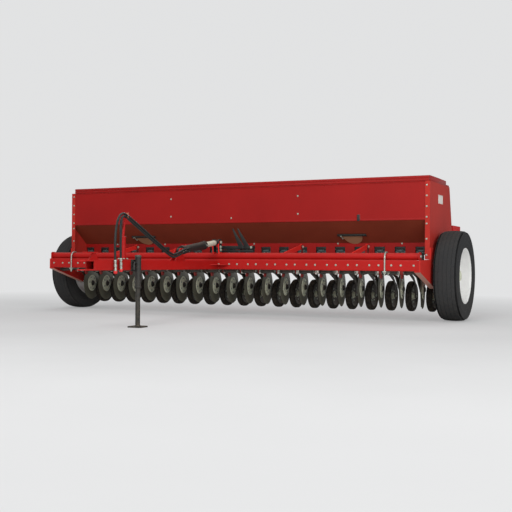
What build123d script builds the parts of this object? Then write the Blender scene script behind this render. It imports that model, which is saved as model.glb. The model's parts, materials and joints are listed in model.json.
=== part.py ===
from build123d import *
from math import atan2, cos, degrees, hypot, pi, radians, sin, sqrt, tan
import os

# End-wheel grain drill, drawn raised and parked on its jack.
# Millimetres. X runs along the seed rows' spacing, Y runs rearwards and Z up. Places along Y are
# given from the toolbar's front face, and put() moves the finished solids so that Y = 0 is the
# middle of the whole length.
os.makedirs("parts", exist_ok=True)

# ---------------------------------------------------------------- driving sizes
ROWS = 20
ROW_PITCH = 190.5

BAR = 90.0                  # square toolbar
BAR_WALL = 8.0
BAR_MARGIN = 100.25         # from the outer rows to the toolbar's ends
BAR_HALF = (ROWS - 1) * ROW_PITCH / 2 + BAR_MARGIN
BAR_BOTTOM = 440.0
BAR_TOP = BAR_BOTTOM + BAR

BRACKET_T = 10.0
BRACKET_FLANGE = 42.0
BRACKET_DROP = 148.0        # how far the bracket's lower edge falls
BRACKET_RUN = 500.0         # over this length
WHEEL_R = 398.0
WHEEL_W = 206.0
WHEEL_GAP = 22.0            # from bracket to tyre
WHEEL_X = BAR_HALF + BRACKET_T + WHEEL_GAP + WHEEL_W / 2
RIM_R = 242.0
RIM_T = 12.0
AXLE_Y = 690.0
AXLE_R = 28.0

TONGUE = 76.0
TONGUE_WALL = 6.0
TONGUE_FRONT = -1850.0
TONGUE_BOTTOM = BAR_BOTTOM
TONGUE_TOP = TONGUE_BOTTOM + TONGUE
CLEVIS_LENGTH = 130.0
CLEVIS_PLATE = 10.0
HITCH_INSET = 40.0          # from the plates' points to the pin
HITCH_PIN_R = 16.0
FRONT_END = TONGUE_FRONT - CLEVIS_LENGTH

SHEET = 4.0                 # hopper sheet
END_SHEET = 5.0
INNER_HALF = BAR_HALF - END_SHEET
HOPPER_FRONT = 335.0
HOPPER_REAR_TOP = 1048.0
HOPPER_REAR_LOW = 1110.0
HOPPER_FOOT = BAR_TOP + 10.0
HOPPER_TOP = 1215.0
PANEL_LOW = 880.0
REAR_LOW = 985.0
FLANGE_W = 37.0
FEED_TOP = 690.0
FEED_FRONT = 580.0
FEED_REAR = 690.0
FEED_MID = (FEED_FRONT + FEED_REAR) / 2
CUP_TOP = 655.0
CUP_LOW = 587.0
CUP_W = 100.0
CUP_DX = -40.0              # cups, tubes and boots stand on the disc's left
TUBE_R = 16.0
TUBE_TOP = CUP_LOW - 6.0
TUBE_LOW = 469.0

LID_RISE = 52.0
LID_T = 3.0
LID_REAR = 936.0
HINGE_R = 8.0
HINGE_Y = LID_REAR + 12.0
HINGE_Z = HOPPER_TOP + 24.0
HINGE_COUNT = 4
HINGE_INSET = 410.0
LEDGE_T = 15.0

SHAFT_R = 30.15             # rockshaft
SHAFT_Y = 50.0
SHAFT_SEAT = 1.8
SHAFT_Z = BAR_TOP + SHAFT_SEAT + SHAFT_R
ARM_REACH = 400.0
ARM_RISE = 90.0
ARM_END = (SHAFT_Y + ARM_REACH, SHAFT_Z + ARM_RISE)
EYE_Y = SHAFT_Y - 15.0      # the cylinder's rod pin
EYE_Z = SHAFT_Z + 125.0
CLAMP_ROD = 7.0

PIVOT_Y = 130.0             # openers turn on this line
PIVOT_Z = 425.0
PIVOT_R = 14.0
ARM_X = (-50.0, -38.0)      # drag arm's two faces, from the row's line
CASTING_X = (-38.0, 50.0)
PRESS_ARM_X = (50.0, 58.0)
DISC_Y = 585.0
DISC_Z = 273.0
DISC_R = 171.5
DISC_T = 4.0
DISC_DX = -24.0
TOE = 7.5                   # discs lead towards +X by this angle
HUB_R = 86.0
HUB_T = 9.0
CAP_R = 27.0
CAP_T = 23.0
BEARING = (8.0, 26.0)       # bearing boss, back along the disc's axis
PRESS_Y = 761.0
PRESS_Z = 206.0
PRESS_R = 138.0
PRESS_W = 56.0
PRESS_DX = 18.0
LIFT_BAR = 38.0             # square bar through all the openers' castings
LIFT_BAR_Y = 430.0
LIFT_BAR_Z = 430.0
LUG_RISE = 60.0
LUG = (LIFT_BAR_Y, LIFT_BAR_Z + LUG_RISE)
LUG_T = 7.0                 # half a lug's thickness, the same as half a rockshaft arm's
LINK_R = 18.0
LINK_X = (8.0, 16.0)
LINK_PIN_R = 9.0
LINK_PLAY = 4.0             # the links' lower eyes run loose on their pins

# Rockshaft arms with their links and lugs: row, and distance from that row's line.
LIFT_PLACES = [(3, 73.0), (6, 87.0), (13, 3.0), (16, 72.0)]

CYL_BASE_Y = -620.0
CYL_BASE_Z = 600.0
CYL_R = 34.0
CYL_END_R = 39.0
CYL_BARREL = 430.0
CYL_PIN_R = 12.0
CYL_EYE_R = 24.0
CYL_EYE_W = 36.0
ROD_R = 16.0
PORT_X = 50.0
PORT_SPREAD = 11.0          # ports lie this far above and below the barrel's axis
PORT_ALONG = 64.0
NIPPLE = 20.0

JACK_X = 72.0
JACK_Y = -1345.0
JACK_R = 24.0
JACK_WALL = 5.0
JACK_LOW = 300.0
JACK_TOP = 557.0
JACK_FOOT = 10.0

POST_Y = -1443.0
POST_R = 18.0
POST_TOP = 833.0

BOARD_FRONT = 1235.0
BOARD_REAR = 1550.0
BOARD_TOP = 868.0
BOARD_T = 58.0
BOARD_SHEET = 4.0
BOARD_LOW = BOARD_TOP - BOARD_T
BOARD_ARMS = 4
BOARD_INSET = 60.0

HOSE_R = 9.0
HOSE_CORNERS = 8
HOSE_LEAD = 60.0            # straight stretch of hose into its port
HOSE_SEAT = 0.5             # from the hose's end to its nipple
COUPLER = 82.0
CAP = 22.0

RUN = 0.3                   # face clearance between pieces that move on each other
FIT = 0.05                  # clearance round the lift bar
CLEAR = 5.0                 # clearance between moving bodies
PAST = 20.0                 # how far a cutter reaches past what it cuts

SHIFT_Y = -(FRONT_END + BOARD_REAR) / 2


# ---------------------------------------------------------------- helpers
def row_x(row):
    return (row - (ROWS - 1) / 2) * ROW_PITCH


def spread(count, inset):
    """Places evenly spread along the machine's width, the outer ones in from the ends."""
    half = BAR_HALF - inset
    return [half * (2 * i / (count - 1) - 1) for i in range(count)]


def block(x0, x1, y0, y1, z0, z1):
    return Pos((x0 + x1) / 2, (y0 + y1) / 2, (z0 + z1) / 2) * Box(x1 - x0, y1 - y0, z1 - z0)


def rod_x(radius, x0, x1, y, z):
    align = (Align.CENTER, Align.CENTER, Align.MIN)
    return Pos(x0, y, z) * Rot(0, 90, 0) * Cylinder(radius, x1 - x0, align=align)


def rod_z(radius, x, y, z0, z1):
    align = (Align.CENTER, Align.CENTER, Align.MIN)
    return Pos(x, y, z0) * Cylinder(radius, z1 - z0, align=align)


def prism_x(corners, radius, x0, x1, y, z):
    """Bar along X with a many-cornered section, for what repeats on every row."""
    section = Plane(origin=(x0, y, z), z_dir=(1, 0, 0)) * RegularPolygon(radius, corners)
    return extrude(section, x1 - x0)


def side_plate(outline, x0, x1):
    """A plate whose outline is drawn in (Y, Z), from x0 to x1."""
    face = Plane.YZ * Polygon(*outline, align=None)
    return Pos(x0, 0, 0) * extrude(face, x1 - x0, dir=(1, 0, 0))


def strip(points, width):
    """Outline of a bar of constant width along a bent line in (Y, Z)."""
    left, right = [], []
    last = len(points) - 1
    for i, (y, z) in enumerate(points):
        before = points[max(i - 1, 0)]
        after = points[min(i + 1, last)]
        run = hypot(after[0] - before[0], after[1] - before[1])
        ny, nz = -(after[1] - before[1]) / run, (after[0] - before[0]) / run
        left.append((y + ny * width / 2, z + nz * width / 2))
        right.append((y - ny * width / 2, z - nz * width / 2))
    return left + right[::-1]


def bar_between(start, end, radius):
    """A round bar between two points."""
    direction = Vector(*end) - Vector(*start)
    return extrude(Plane(origin=start, z_dir=direction) * Circle(radius), direction.length)


def both_ends(make):
    """A piece of the +X end and its mirror image at the -X end."""
    right = make()
    return [right, mirror(right, about=Plane.YZ)]


def each_row(make):
    return [make(row_x(row)) for row in range(ROWS)]


def put(node, *solids):
    """Write one node, its solids in the shared frame."""
    moved = [Pos(0, SHIFT_Y, 0) * solid for solid in solids]
    loose = [piece for solid in moved for piece in solid.solids()]
    shape = loose[0] if len(loose) == 1 else Compound(children=loose)
    export_step(shape, f"parts/{node}.step")


# ---------------------------------------------------------------- frame
def toolbar():
    outer = block(-BAR_HALF, BAR_HALF, 0, BAR, BAR_BOTTOM, BAR_TOP)
    outer = fillet(outer.edges().filter_by(Axis.X), BAR_WALL)
    low, high = BAR_BOTTOM + BAR_WALL, BAR_TOP - BAR_WALL
    return outer - block(-BAR_HALF, BAR_HALF, BAR_WALL, BAR - BAR_WALL, low, high)


def wheel_bracket():
    """Plate from the toolbar's end down to the axle, its lower edge turned inwards."""
    outline = [(0, BAR_BOTTOM), (0, BAR_TOP), (HOPPER_FRONT, HOPPER_FOOT), (HOPPER_FRONT, HOPPER_FOOT + 100),
               (AXLE_Y + 40, HOPPER_FOOT + 100), (AXLE_Y + 76, WHEEL_R), (AXLE_Y + 30, WHEEL_R - 72),
               (BRACKET_RUN, BAR_BOTTOM - BRACKET_DROP)]
    outer = BAR_HALF + BRACKET_T
    plate = side_plate(outline, BAR_HALF, outer)
    slope = degrees(atan2(BRACKET_DROP, BRACKET_RUN))
    flange = block(BAR_HALF - BRACKET_FLANGE, outer, 0, hypot(BRACKET_DROP, BRACKET_RUN), -8, 0)
    flange = Pos(0, 0, BAR_BOTTOM) * Rot(-slope, 0, 0) * flange
    spindle = rod_x(AXLE_R, outer, WHEEL_X + WHEEL_W / 2 - 60, AXLE_Y, WHEEL_R)
    boss = rod_x(AXLE_R + 22, outer, outer + 14, AXLE_Y, WHEEL_R)
    return plate + flange + spindle + boss


def tongue():
    """Square tube, open at the front, where the clevis plates meet its walls."""
    half = TONGUE / 2
    tube = block(-half, half, TONGUE_FRONT, 0, TONGUE_BOTTOM, TONGUE_TOP)
    inner = half - TONGUE_WALL
    low, high = TONGUE_BOTTOM + TONGUE_WALL, TONGUE_TOP - TONGUE_WALL
    return tube - block(-inner, inner, TONGUE_FRONT, 0, low, high)


def clevis_plate(z0):
    """Pointed plate in front of the tongue, bored for the hitch pin."""
    half, point = TONGUE / 2, 14
    outline = [(-half, TONGUE_FRONT), (half, TONGUE_FRONT), (half - 6, FRONT_END + 34), (point, FRONT_END),
               (-point, FRONT_END), (6 - half, FRONT_END + 34)]
    plate = extrude(Pos(0, 0, z0) * Polygon(*outline, align=None), CLEVIS_PLATE, dir=(0, 0, 1))
    return plate - rod_z(HITCH_PIN_R, 0, FRONT_END + HITCH_INSET, z0 - PAST, z0 + PAST)


def hitch_clevis():
    """Upper and lower plate; the upper one carries the gusset and strap for the safety chain."""
    foot, head = TONGUE_TOP, TONGUE_TOP + 50
    web = [(TONGUE_FRONT - 18, foot), (TONGUE_FRONT + 88, foot), (TONGUE_FRONT + 66, head),
           (TONGUE_FRONT + 30, head)]
    gusset = side_plate(web, -5, 5) + block(-20, 20, TONGUE_FRONT - 60, TONGUE_FRONT + 66, head, head + 8)
    return [clevis_plate(TONGUE_TOP - CLEVIS_PLATE) + gusset, clevis_plate(TONGUE_BOTTOM)]


def hose_post():
    """Stepped post whose top arm holds the hoses up over the tongue."""
    foot = block(-30, 30, POST_Y - 30, POST_Y + 30, TONGUE_TOP, TONGUE_TOP + 8)
    lower = rod_z(POST_R, 0, POST_Y, TONGUE_TOP, 696)
    upper = bar_between((0, POST_Y, 690), (0, POST_Y + 18, POST_TOP - 5), 9)
    arm = block(-20, 20, POST_Y - 40, POST_Y + 24, POST_TOP - 7, POST_TOP)
    return foot + lower + upper + arm


def jack_housing():
    bore = JACK_R - JACK_WALL
    tube = rod_z(JACK_R, JACK_X, JACK_Y, JACK_LOW, JACK_TOP)
    tube -= rod_z(bore, JACK_X, JACK_Y, JACK_LOW, JACK_TOP - 8)
    half = TONGUE / 2
    plate = block(half, half + 8, JACK_Y - 50, JACK_Y + 50, TONGUE_BOTTOM - 6, TONGUE_TOP + 6)
    neck_end = JACK_X - bore - 2
    neck = block(half + 8, neck_end, JACK_Y - 16, JACK_Y + 16, TONGUE_BOTTOM + 6, TONGUE_TOP - 6)
    crank = block(JACK_X - 8, JACK_X + 8, JACK_Y - 62, JACK_Y - bore - 2, 488, 508)
    grip = block(JACK_X - 8, JACK_X + 8, JACK_Y - 62, JACK_Y - 46, 440, 488)
    return tube + plate + neck + crank + grip


def jack_leg():
    inner = rod_z(JACK_R - JACK_WALL - RUN, JACK_X, JACK_Y, JACK_FOOT, 390)
    return inner + block(JACK_X - 60, JACK_X + 60, JACK_Y - 60, JACK_Y + 60, 0, JACK_FOOT)


def rockshaft_clamp(x):
    """U-bolt over the rockshaft and round the toolbar, with its bearing pad and lower strap."""
    mid = BAR / 2
    radius = mid + CLAMP_ROD + 0.5
    low = BAR_BOTTOM - 28
    top = SHAFT_Z + SHAFT_R + 1 - mid
    front, rear = mid - radius, mid + radius
    arc = ThreePointArc((front, top), (mid, top + radius), (rear, top))
    legs = [Line((front, low), (front, top)), Line((rear, top), (rear, low))]
    wire = Plane.YZ.offset(x) * Wire([*legs[0].edges(), *arc.edges(), *legs[1].edges()])
    section = Plane(origin=(x, front, low), z_dir=(0, 0, 1)) * RegularPolygon(CLAMP_ROD, 6)
    bolt = sweep(section, path=wire)
    strap = block(x - 14, x + 14, front - 11, rear + 11, BAR_BOTTOM - 12, BAR_BOTTOM)
    pad = block(x - 30, x + 30, 18, 82, BAR_TOP, BAR_TOP + SHAFT_SEAT - RUN)
    return [bolt, strap - bolt, pad]


def opener_hanger(x):
    """Two angle ears on the toolbar's back that carry the opener's pivot."""
    ear = [(BAR + 8, PIVOT_Z - 2), (PIVOT_Y - 12, PIVOT_Z - 18), (PIVOT_Y + 16, PIVOT_Z - 18),
           (PIVOT_Y + 16, PIVOT_Z + 14), (BAR + 8, BAR_TOP - 20)]
    pair = []
    for centre, x0 in ((x - 56, x - 60), (x + 56, x + 61)):
        foot = block(centre - 18, centre + 18, BAR, BAR + 8, BAR_BOTTOM + 6, BAR_TOP - 8)
        pair.append(foot + side_plate(ear, x0, x0 + 9))
    return pair


def lift_stop():
    """Cross bar behind the cylinder, on two risers, with two tapered upright plates."""
    y0, y1 = BAR + 30, BAR + 80
    low, top = 600, 655
    beam = block(-30, 330, y0, y1, low, top)
    riser = [(BAR, BAR_BOTTOM + 10), (BAR, BAR_TOP - 6), (y0 + 4, low + 4), (y1, low + 4), (y1, low - 10),
             (BAR + 26, 500)]
    for x in (0, ROW_PITCH):
        beam += side_plate(riser, x - 8, x + 8)
    blade = [(y0, top - 1), (y1, top - 1), (y0 - 78, 826), (y0 - 96, 826)]
    for x in (205, 285):
        beam += side_plate(blade, x, x + 12)
    return beam


# ---------------------------------------------------------------- hopper
def hopper_end():
    """End sheet with its bolted front flange; it also joins hopper to wheel bracket."""
    outline = [(HOPPER_FRONT, HOPPER_FOOT), (HOPPER_FRONT, HOPPER_TOP), (HOPPER_REAR_TOP, HOPPER_TOP),
               (1161, 790), (1140, 740), (AXLE_Y + 60, 560), (AXLE_Y, HOPPER_FOOT)]
    sheet = side_plate(outline, INNER_HALF, BAR_HALF)
    y0, y1 = HOPPER_FRONT, HOPPER_FRONT + SHEET
    return sheet + block(INNER_HALF - FLANGE_W, INNER_HALF, y0, y1, HOPPER_FOOT, HOPPER_TOP)


def sheet_between(start, end):
    """A sheet whose lower face runs between two (Y, Z) points, from end sheet to end sheet."""
    run = hypot(end[0] - start[0], end[1] - start[1])
    ny, nz = -(end[1] - start[1]) / run * SHEET, (end[0] - start[0]) / run * SHEET
    outline = [start, end, (end[0] + ny, end[1] + nz), (start[0] + ny, start[1] + nz)]
    return side_plate(outline, -INNER_HALF, INNER_HALF)


def front_panel():
    y0 = HOPPER_FRONT + SHEET
    panel = block(-INNER_HALF, INNER_HALF, y0, y0 + SHEET, PANEL_LOW, HOPPER_TOP)
    return panel + block(-INNER_HALF, INNER_HALF, y0 + SHEET, y0 + 24, HOPPER_TOP - SHEET, HOPPER_TOP)


def front_slope():
    return sheet_between((HOPPER_FRONT + 2 * SHEET, PANEL_LOW), (FEED_FRONT, FEED_TOP))


def rear_panel():
    """Leaning rear sheet with the fixed ledge that carries the lid's hinges."""
    outline = [(HOPPER_REAR_TOP, HOPPER_TOP), (HOPPER_REAR_LOW, REAR_LOW),
               (HOPPER_REAR_LOW - SHEET, REAR_LOW), (HOPPER_REAR_TOP - SHEET, HOPPER_TOP)]
    sheet = side_plate(outline, -INNER_HALF, INNER_HALF)
    y0, z1 = LID_REAR + 14, HOPPER_TOP + LEDGE_T
    return sheet + block(-INNER_HALF, INNER_HALF, y0, HOPPER_REAR_TOP, HOPPER_TOP, z1)


def rear_slope():
    return sheet_between((FEED_REAR, FEED_TOP), (HOPPER_REAR_LOW - SHEET, REAR_LOW))


def partition(x):
    front, top = HOPPER_FRONT + 2 * SHEET + RUN, HOPPER_TOP - 65
    outline = [(front, PANEL_LOW + 12), (front, top), (HOPPER_REAR_TOP - 2 * SHEET, top),
               (HOPPER_REAR_LOW - 3 * SHEET, REAR_LOW + 14), (FEED_REAR, FEED_TOP + 14),
               (FEED_FRONT, FEED_TOP + 14)]
    return side_plate(outline, x - 2, x + 2)


def feed_trough():
    """Channel under the hopper's throat; its front wall is open at each feed cup."""
    front = block(-INNER_HALF, INNER_HALF, FEED_FRONT - SHEET, FEED_FRONT, CUP_LOW, FEED_TOP)
    y0, y1 = FEED_FRONT - 2 * SHEET, FEED_FRONT
    for cx in each_row(lambda x: x + CUP_DX):
        front -= block(cx - CUP_W / 2, cx + CUP_W / 2, y0, y1, CUP_LOW, CUP_TOP)
    rear = block(-INNER_HALF, INNER_HALF, FEED_REAR, FEED_REAR + SHEET, CUP_TOP, FEED_TOP)
    return front + rear + block(-INNER_HALF, INNER_HALF, FEED_FRONT, FEED_REAR, CUP_TOP, CUP_TOP + SHEET)


def feed_cup(x):
    """Fluted-feed housing hanging from the trough: a hooded throat over a rounded outlet spout."""
    cx, half = x + CUP_DX, CUP_W / 2 - 4
    face = FEED_FRONT + 4
    outline = [(face, CUP_TOP), (face, CUP_TOP - 14), (face + 10, CUP_TOP - 26), (face + 10, CUP_LOW + 10),
               (FEED_MID - 16, TUBE_TOP), (FEED_MID + 16, TUBE_TOP), (FEED_REAR - 18, CUP_LOW + 16),
               (FEED_REAR - 10, CUP_TOP)]
    return side_plate(outline, cx - half, cx + half)


def seed_tube(x):
    section = Pos(x + CUP_DX, FEED_MID, TUBE_LOW) * RegularPolygon(TUBE_R, 6)
    return extrude(section, TUBE_TOP - TUBE_LOW)


# ---------------------------------------------------------------- lid
def across_plate(outline, y0, y1):
    """A plate whose outline is drawn in (X, Z), from y0 to y1."""
    face = Plane(origin=(0, y0, 0), x_dir=(1, 0, 0), z_dir=(0, -1, 0)) * Polygon(*outline, align=None)
    return extrude(face, y1 - y0, dir=(0, 1, 0))


def lid_block(inset):
    """Sloping-sided block; the lid is the outer one less the inner one."""
    y0, y1 = HOPPER_FRONT + LID_T + inset, LID_REAR - inset
    low, top = HOPPER_TOP + 1 - inset, HOPPER_TOP + LID_RISE - inset
    half = BAR_HALF - 2 - inset
    side = side_plate([(y0, low), (y0 + 46, top), (y1, top), (y1, low)], -BAR_HALF, BAR_HALF)
    end = across_plate([(-half, low), (half, low), (half - 32, top), (-half + 32, top)], y0, y1)
    return side & end


def lid():
    """Pressed tray, open below, with two knuckles at each hinge."""
    tray = lid_block(0) - lid_block(LID_T)
    for x in spread(HINGE_COUNT, HINGE_INSET):
        for x0, x1 in ((x - 60, x - 20 - RUN), (x + 20 + RUN, x + 60)):
            tray += prism_x(8, HINGE_R, x0, x1, HINGE_Y, HINGE_Z)
            tray += block(x0, x1, LID_REAR - 1, HINGE_Y, HINGE_Z - 3, HINGE_Z + 3)
    return tray


def lid_hinge(x):
    knuckle = rod_x(HINGE_R, x - 20, x + 20, HINGE_Y, HINGE_Z)
    ledge = HOPPER_TOP + LEDGE_T
    return knuckle + block(x - 20, x + 20, HINGE_Y, HINGE_Y + 60, ledge, ledge + 5)


# ---------------------------------------------------------------- wheels
def on_axle(side, profile):
    """A body of revolution drawn as (radius, distance out from the wheel's middle)."""
    ring = revolve(Plane.XZ * Polygon(*profile, align=None), Axis.Z)
    return Pos(side * WHEEL_X, AXLE_Y, WHEEL_R) * Rot(0, 90 * side, 0) * ring


def tyre(side):
    half = WHEEL_W / 2
    return on_axle(side, [(RIM_R, -half), (WHEEL_R, -half), (WHEEL_R, half), (RIM_R, half)])


def rim(side):
    """Flat-based rim with a deep disc and a long hub, open on the outside."""
    half = WHEEL_W / 2 - SHEET
    bore, hub, base = AXLE_R + RUN, 60, RIM_R - RIM_T
    profile = [(bore, -70), (hub, -70), (hub, -26), (base, -26), (base, -half), (RIM_R, -half),
               (RIM_R, half), (base, half), (base, -16), (hub, -16), (hub, 46), (bore, 46)]
    return on_axle(side, profile)


# ---------------------------------------------------------------- rockshaft and lift cylinder
def rockshaft():
    return rod_x(SHAFT_R, 10 - BAR_HALF, BAR_HALF - 10, SHAFT_Y, SHAFT_Z)


def lift_xs():
    return [row_x(row) + offset for row, offset in LIFT_PLACES]


def rockshaft_arm(x):
    """Arm whose pin carries one of the openers' lift links."""
    bar = side_plate(strip([(SHAFT_Y + 24, SHAFT_Z + 14), ARM_END], 40), x - LUG_T, x + LUG_T)
    bar += prism_x(8, 26, x - LUG_T, x + LUG_T, *ARM_END)
    bar += rod_x(LINK_PIN_R, x - LUG_T, x + LINK_X[1] + 8, *ARM_END)
    return bar - rod_x(SHAFT_R, x - PAST, x + PAST, SHAFT_Y, SHAFT_Z)


def crank():
    """Two cheeks on the rockshaft with the pin for the cylinder's rod."""
    cheek = side_plate(strip([(SHAFT_Y, SHAFT_Z + 10), (EYE_Y, EYE_Z + 22)], 52), 24, 36)
    cheeks = cheek + mirror(cheek, about=Plane.YZ)
    cheeks -= rod_x(SHAFT_R, -60, 60, SHAFT_Y, SHAFT_Z)
    return cheeks + rod_x(CYL_PIN_R, -44, 44, EYE_Y, EYE_Z)


CYL_LENGTH = hypot(EYE_Y - CYL_BASE_Y, EYE_Z - CYL_BASE_Z)
CYL_TILT = degrees(atan2(EYE_Z - CYL_BASE_Z, EYE_Y - CYL_BASE_Y))


def along_cylinder(solid):
    """Lay a solid drawn along +Z from the base pin onto the cylinder's line."""
    return Pos(0, CYL_BASE_Y, CYL_BASE_Z) * Rot(CYL_TILT - 90, 0, 0) * solid


def up(radius, z0, z1):
    return rod_z(radius, 0, 0, z0, z1)


def cylinder_eye(z):
    return prism_x(12, CYL_EYE_R, -CYL_EYE_W / 2, CYL_EYE_W / 2, 0, z)


def pin_bore(z):
    return rod_x(CYL_PIN_R + RUN, -CYL_EYE_W, CYL_EYE_W, 0, z)


def cylinder_barrel():
    """Barrel with its base eye, end caps and the two ports that the hoses screw into."""
    half = CYL_EYE_W / 2
    tube = up(CYL_R, 40, CYL_BARREL) + up(CYL_END_R, 32, 60) + up(CYL_END_R, CYL_BARREL - 36, CYL_BARREL)
    tube += cylinder_eye(0) + block(-half, half, -20, 20, 0, 40)
    across = PORT_SPREAD + 9
    tube += block(CYL_R - 6, PORT_X + 10, -across, across, PORT_ALONG, PORT_ALONG + 22)
    for side in (-1, 1):
        nipple = Pos(PORT_X, side * PORT_SPREAD, PORT_ALONG - NIPPLE) * RegularPolygon(7, 6)
        tube += extrude(nipple, NIPPLE)
    return along_cylinder(tube - up(ROD_R + RUN, 60, CYL_BARREL) - pin_bore(0))


def cylinder_rod():
    """Rod with its stack of stop collars and the eye at its end."""
    bar = up(ROD_R, 120, CYL_LENGTH - 14) + up(25, CYL_BARREL + 6, CYL_LENGTH - 42)
    return along_cylinder(bar + cylinder_eye(CYL_LENGTH) - pin_bore(CYL_LENGTH))


def cylinder_anchor():
    """Lugs and pin on the tongue that hold the cylinder's base."""
    back = CYL_BASE_Y + 20
    outline = [(CYL_BASE_Y - 110, TONGUE_TOP), (CYL_BASE_Y - 24, CYL_BASE_Z + 22), (back, CYL_BASE_Z + 22),
               (back, TONGUE_TOP + 32), (back + 40, TONGUE_TOP)]
    lug = side_plate(outline, 19, 29)
    return lug + mirror(lug, about=Plane.YZ) + rod_x(CYL_PIN_R, -34, 34, CYL_BASE_Y, CYL_BASE_Z)


# ---------------------------------------------------------------- openers
def lift_bar_hole(x0, x1):
    half = LIFT_BAR / 2 + FIT
    return block(x0, x1, LIFT_BAR_Y - half, LIFT_BAR_Y + half, LIFT_BAR_Z - half, LIFT_BAR_Z + half)


def square_eye(x0, x1):
    """Plate round the lift bar."""
    half = LIFT_BAR / 2 + 9
    return block(x0, x1, LIFT_BAR_Y - half, LIFT_BAR_Y + half, LIFT_BAR_Z - half, LIFT_BAR_Z + half)


def on_disc_axis(x, solid):
    """Place a solid drawn about the disc's middle, its axis along X, on the row at x."""
    return Pos(x + DISC_DX, DISC_Y, DISC_Z) * Rot(0, 0, TOE) * solid


def opener_arm(x):
    """Drag arm from its pivot sleeve to the disc's bearing, with the seed boot lapped on its side."""
    sleeve = prism_x(8, PIVOT_R, x - 50.7, x + 60.7, PIVOT_Y, PIVOT_Z)
    line = [(PIVOT_Y, PIVOT_Z), (330, 440), (470, 398), (600, 268)]
    arm = side_plate(strip(line, 46), x + ARM_X[0], x + ARM_X[1]) + square_eye(x + ARM_X[0], x + ARM_X[1])
    bearing = on_disc_axis(x, prism_x(12, 24, -BEARING[1], -BEARING[0], 0, 0))
    arm += sleeve + bearing + seed_boot(x)
    return arm - lift_bar_hole(x + ARM_X[0] - PAST, x + ARM_X[1] + PAST)


def seed_boot(x):
    """Boot in the disc's shadow, and the open cup on it that takes the seed tube."""
    shank = [(51, 27), (51, 179), (79, 179), (95, 57), (121, -53), (117, -151), (83, -159), (65, -103)]
    boot = on_disc_axis(x, side_plate(shank, -28, -DISC_T / 2 - CLEAR))
    lap = side_plate([(560, 322), (590, 380), (664, 452), (668, 330), (636, 268)], x - 58, x - 50)
    cx, y0, y1 = x + CUP_DX, FEED_MID - 30, FEED_MID + 30
    cup = block(cx - 24, cx + 24, y0, y1, 450, 494) - block(cx - 20, cx + 20, y0 + 4, y1 - 4, 454, 494)
    return boot + lap + cup


def opener_casting(x):
    """Cross casting over the disc, round the lift bar, from the drag arm to the press arm."""
    y, z = LIFT_BAR_Y, LIFT_BAR_Z
    outline = [(y - 30, z - 26), (y - 34, z + 8), (y - 18, z + 30), (y + 20, z + 30), (y + 32, z + 6),
               (y + 26, z - 26)]
    body = side_plate(outline, x + CASTING_X[0], x + CASTING_X[1])
    for lug_x in lift_xs():
        if x + CASTING_X[0] < lug_x < x + CASTING_X[1]:
            body -= block(lug_x - LUG_T - FIT, lug_x + LUG_T + FIT, y - 40, y + 40, z, z + 40)
    return body - lift_bar_hole(x + CASTING_X[0], x + CASTING_X[1])


def lift_bar():
    """Square bar through every casting, with the ears and pins that the lift links hang on."""
    half = LIFT_BAR / 2
    y, z = LIFT_BAR_Y, LIFT_BAR_Z
    x0, x1 = row_x(0) + ARM_X[0] - 24, row_x(ROWS - 1) + PRESS_ARM_X[1] + 24
    bar = block(x0, x1, y - half, y + half, z - half, z + half)
    for x in lift_xs():
        ear = [(y - 16, z), (y + 16, z), (y + 14, LUG[1] + 14), (y - 14, LUG[1] + 14)]
        bar += side_plate(ear, x - LUG_T, x + LUG_T)
        bar += rod_x(LINK_PIN_R, x, x + LINK_X[1] + 8, *LUG)
    return bar


def lift_link(x):
    """Flat link from the rockshaft arm's pin to the lift bar's ear."""
    x0, x1 = x + LINK_X[0], x + LINK_X[1]
    bar = side_plate(strip([LUG, ARM_END], 26), x0, x1)
    bar += prism_x(12, LINK_R, x0, x1, *LUG) + prism_x(12, LINK_R, x0, x1, *ARM_END)
    bar -= rod_x(LINK_PIN_R + RUN, x0, x1, *ARM_END)
    return bar - rod_x(LINK_PIN_R + LINK_PLAY, x0, x1, *LUG)


def disc(x):
    """Blade with its hub plate, dust cap and the stub shaft that runs in the drag arm's bearing."""
    face = DISC_T / 2
    blade = prism_x(32, DISC_R, -face, face, 0, 0) + prism_x(16, HUB_R, face, face + HUB_T, 0, 0)
    blade += prism_x(12, CAP_R, face + HUB_T, face + HUB_T + CAP_T, 0, 0)
    blade += prism_x(12, 20, RUN - BEARING[0], -face, 0, 0)
    return on_disc_axis(x, blade)


def press_wheel(x):
    cx, half = x + PRESS_DX, PRESS_W / 2
    wheel = prism_x(32, PRESS_R, cx - half, cx + half, PRESS_Y, PRESS_Z)
    return wheel + prism_x(12, 24, cx + half, x + PRESS_ARM_X[0] - RUN, PRESS_Y, PRESS_Z)


def press_arm(x):
    """Bowed arm from the lift bar back and down to the press wheel."""
    x0, x1 = x + PRESS_ARM_X[0], x + PRESS_ARM_X[1]
    line = [(LIFT_BAR_Y, LIFT_BAR_Z), (560, 420), (690, 366), (772, 298), (PRESS_Y, PRESS_Z)]
    arm = side_plate(strip(line, 30), x0, x1) + square_eye(x0, x1) + prism_x(8, 20, x0, x1, PRESS_Y, PRESS_Z)
    return arm - lift_bar_hole(x0, x1)


# ---------------------------------------------------------------- rear board
def rear_slope_z(y):
    """Height of the rear slope's outer face."""
    share = (y - FEED_REAR) / (HOPPER_REAR_LOW - SHEET - FEED_REAR)
    return FEED_TOP + share * (REAR_LOW - FEED_TOP)


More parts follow.
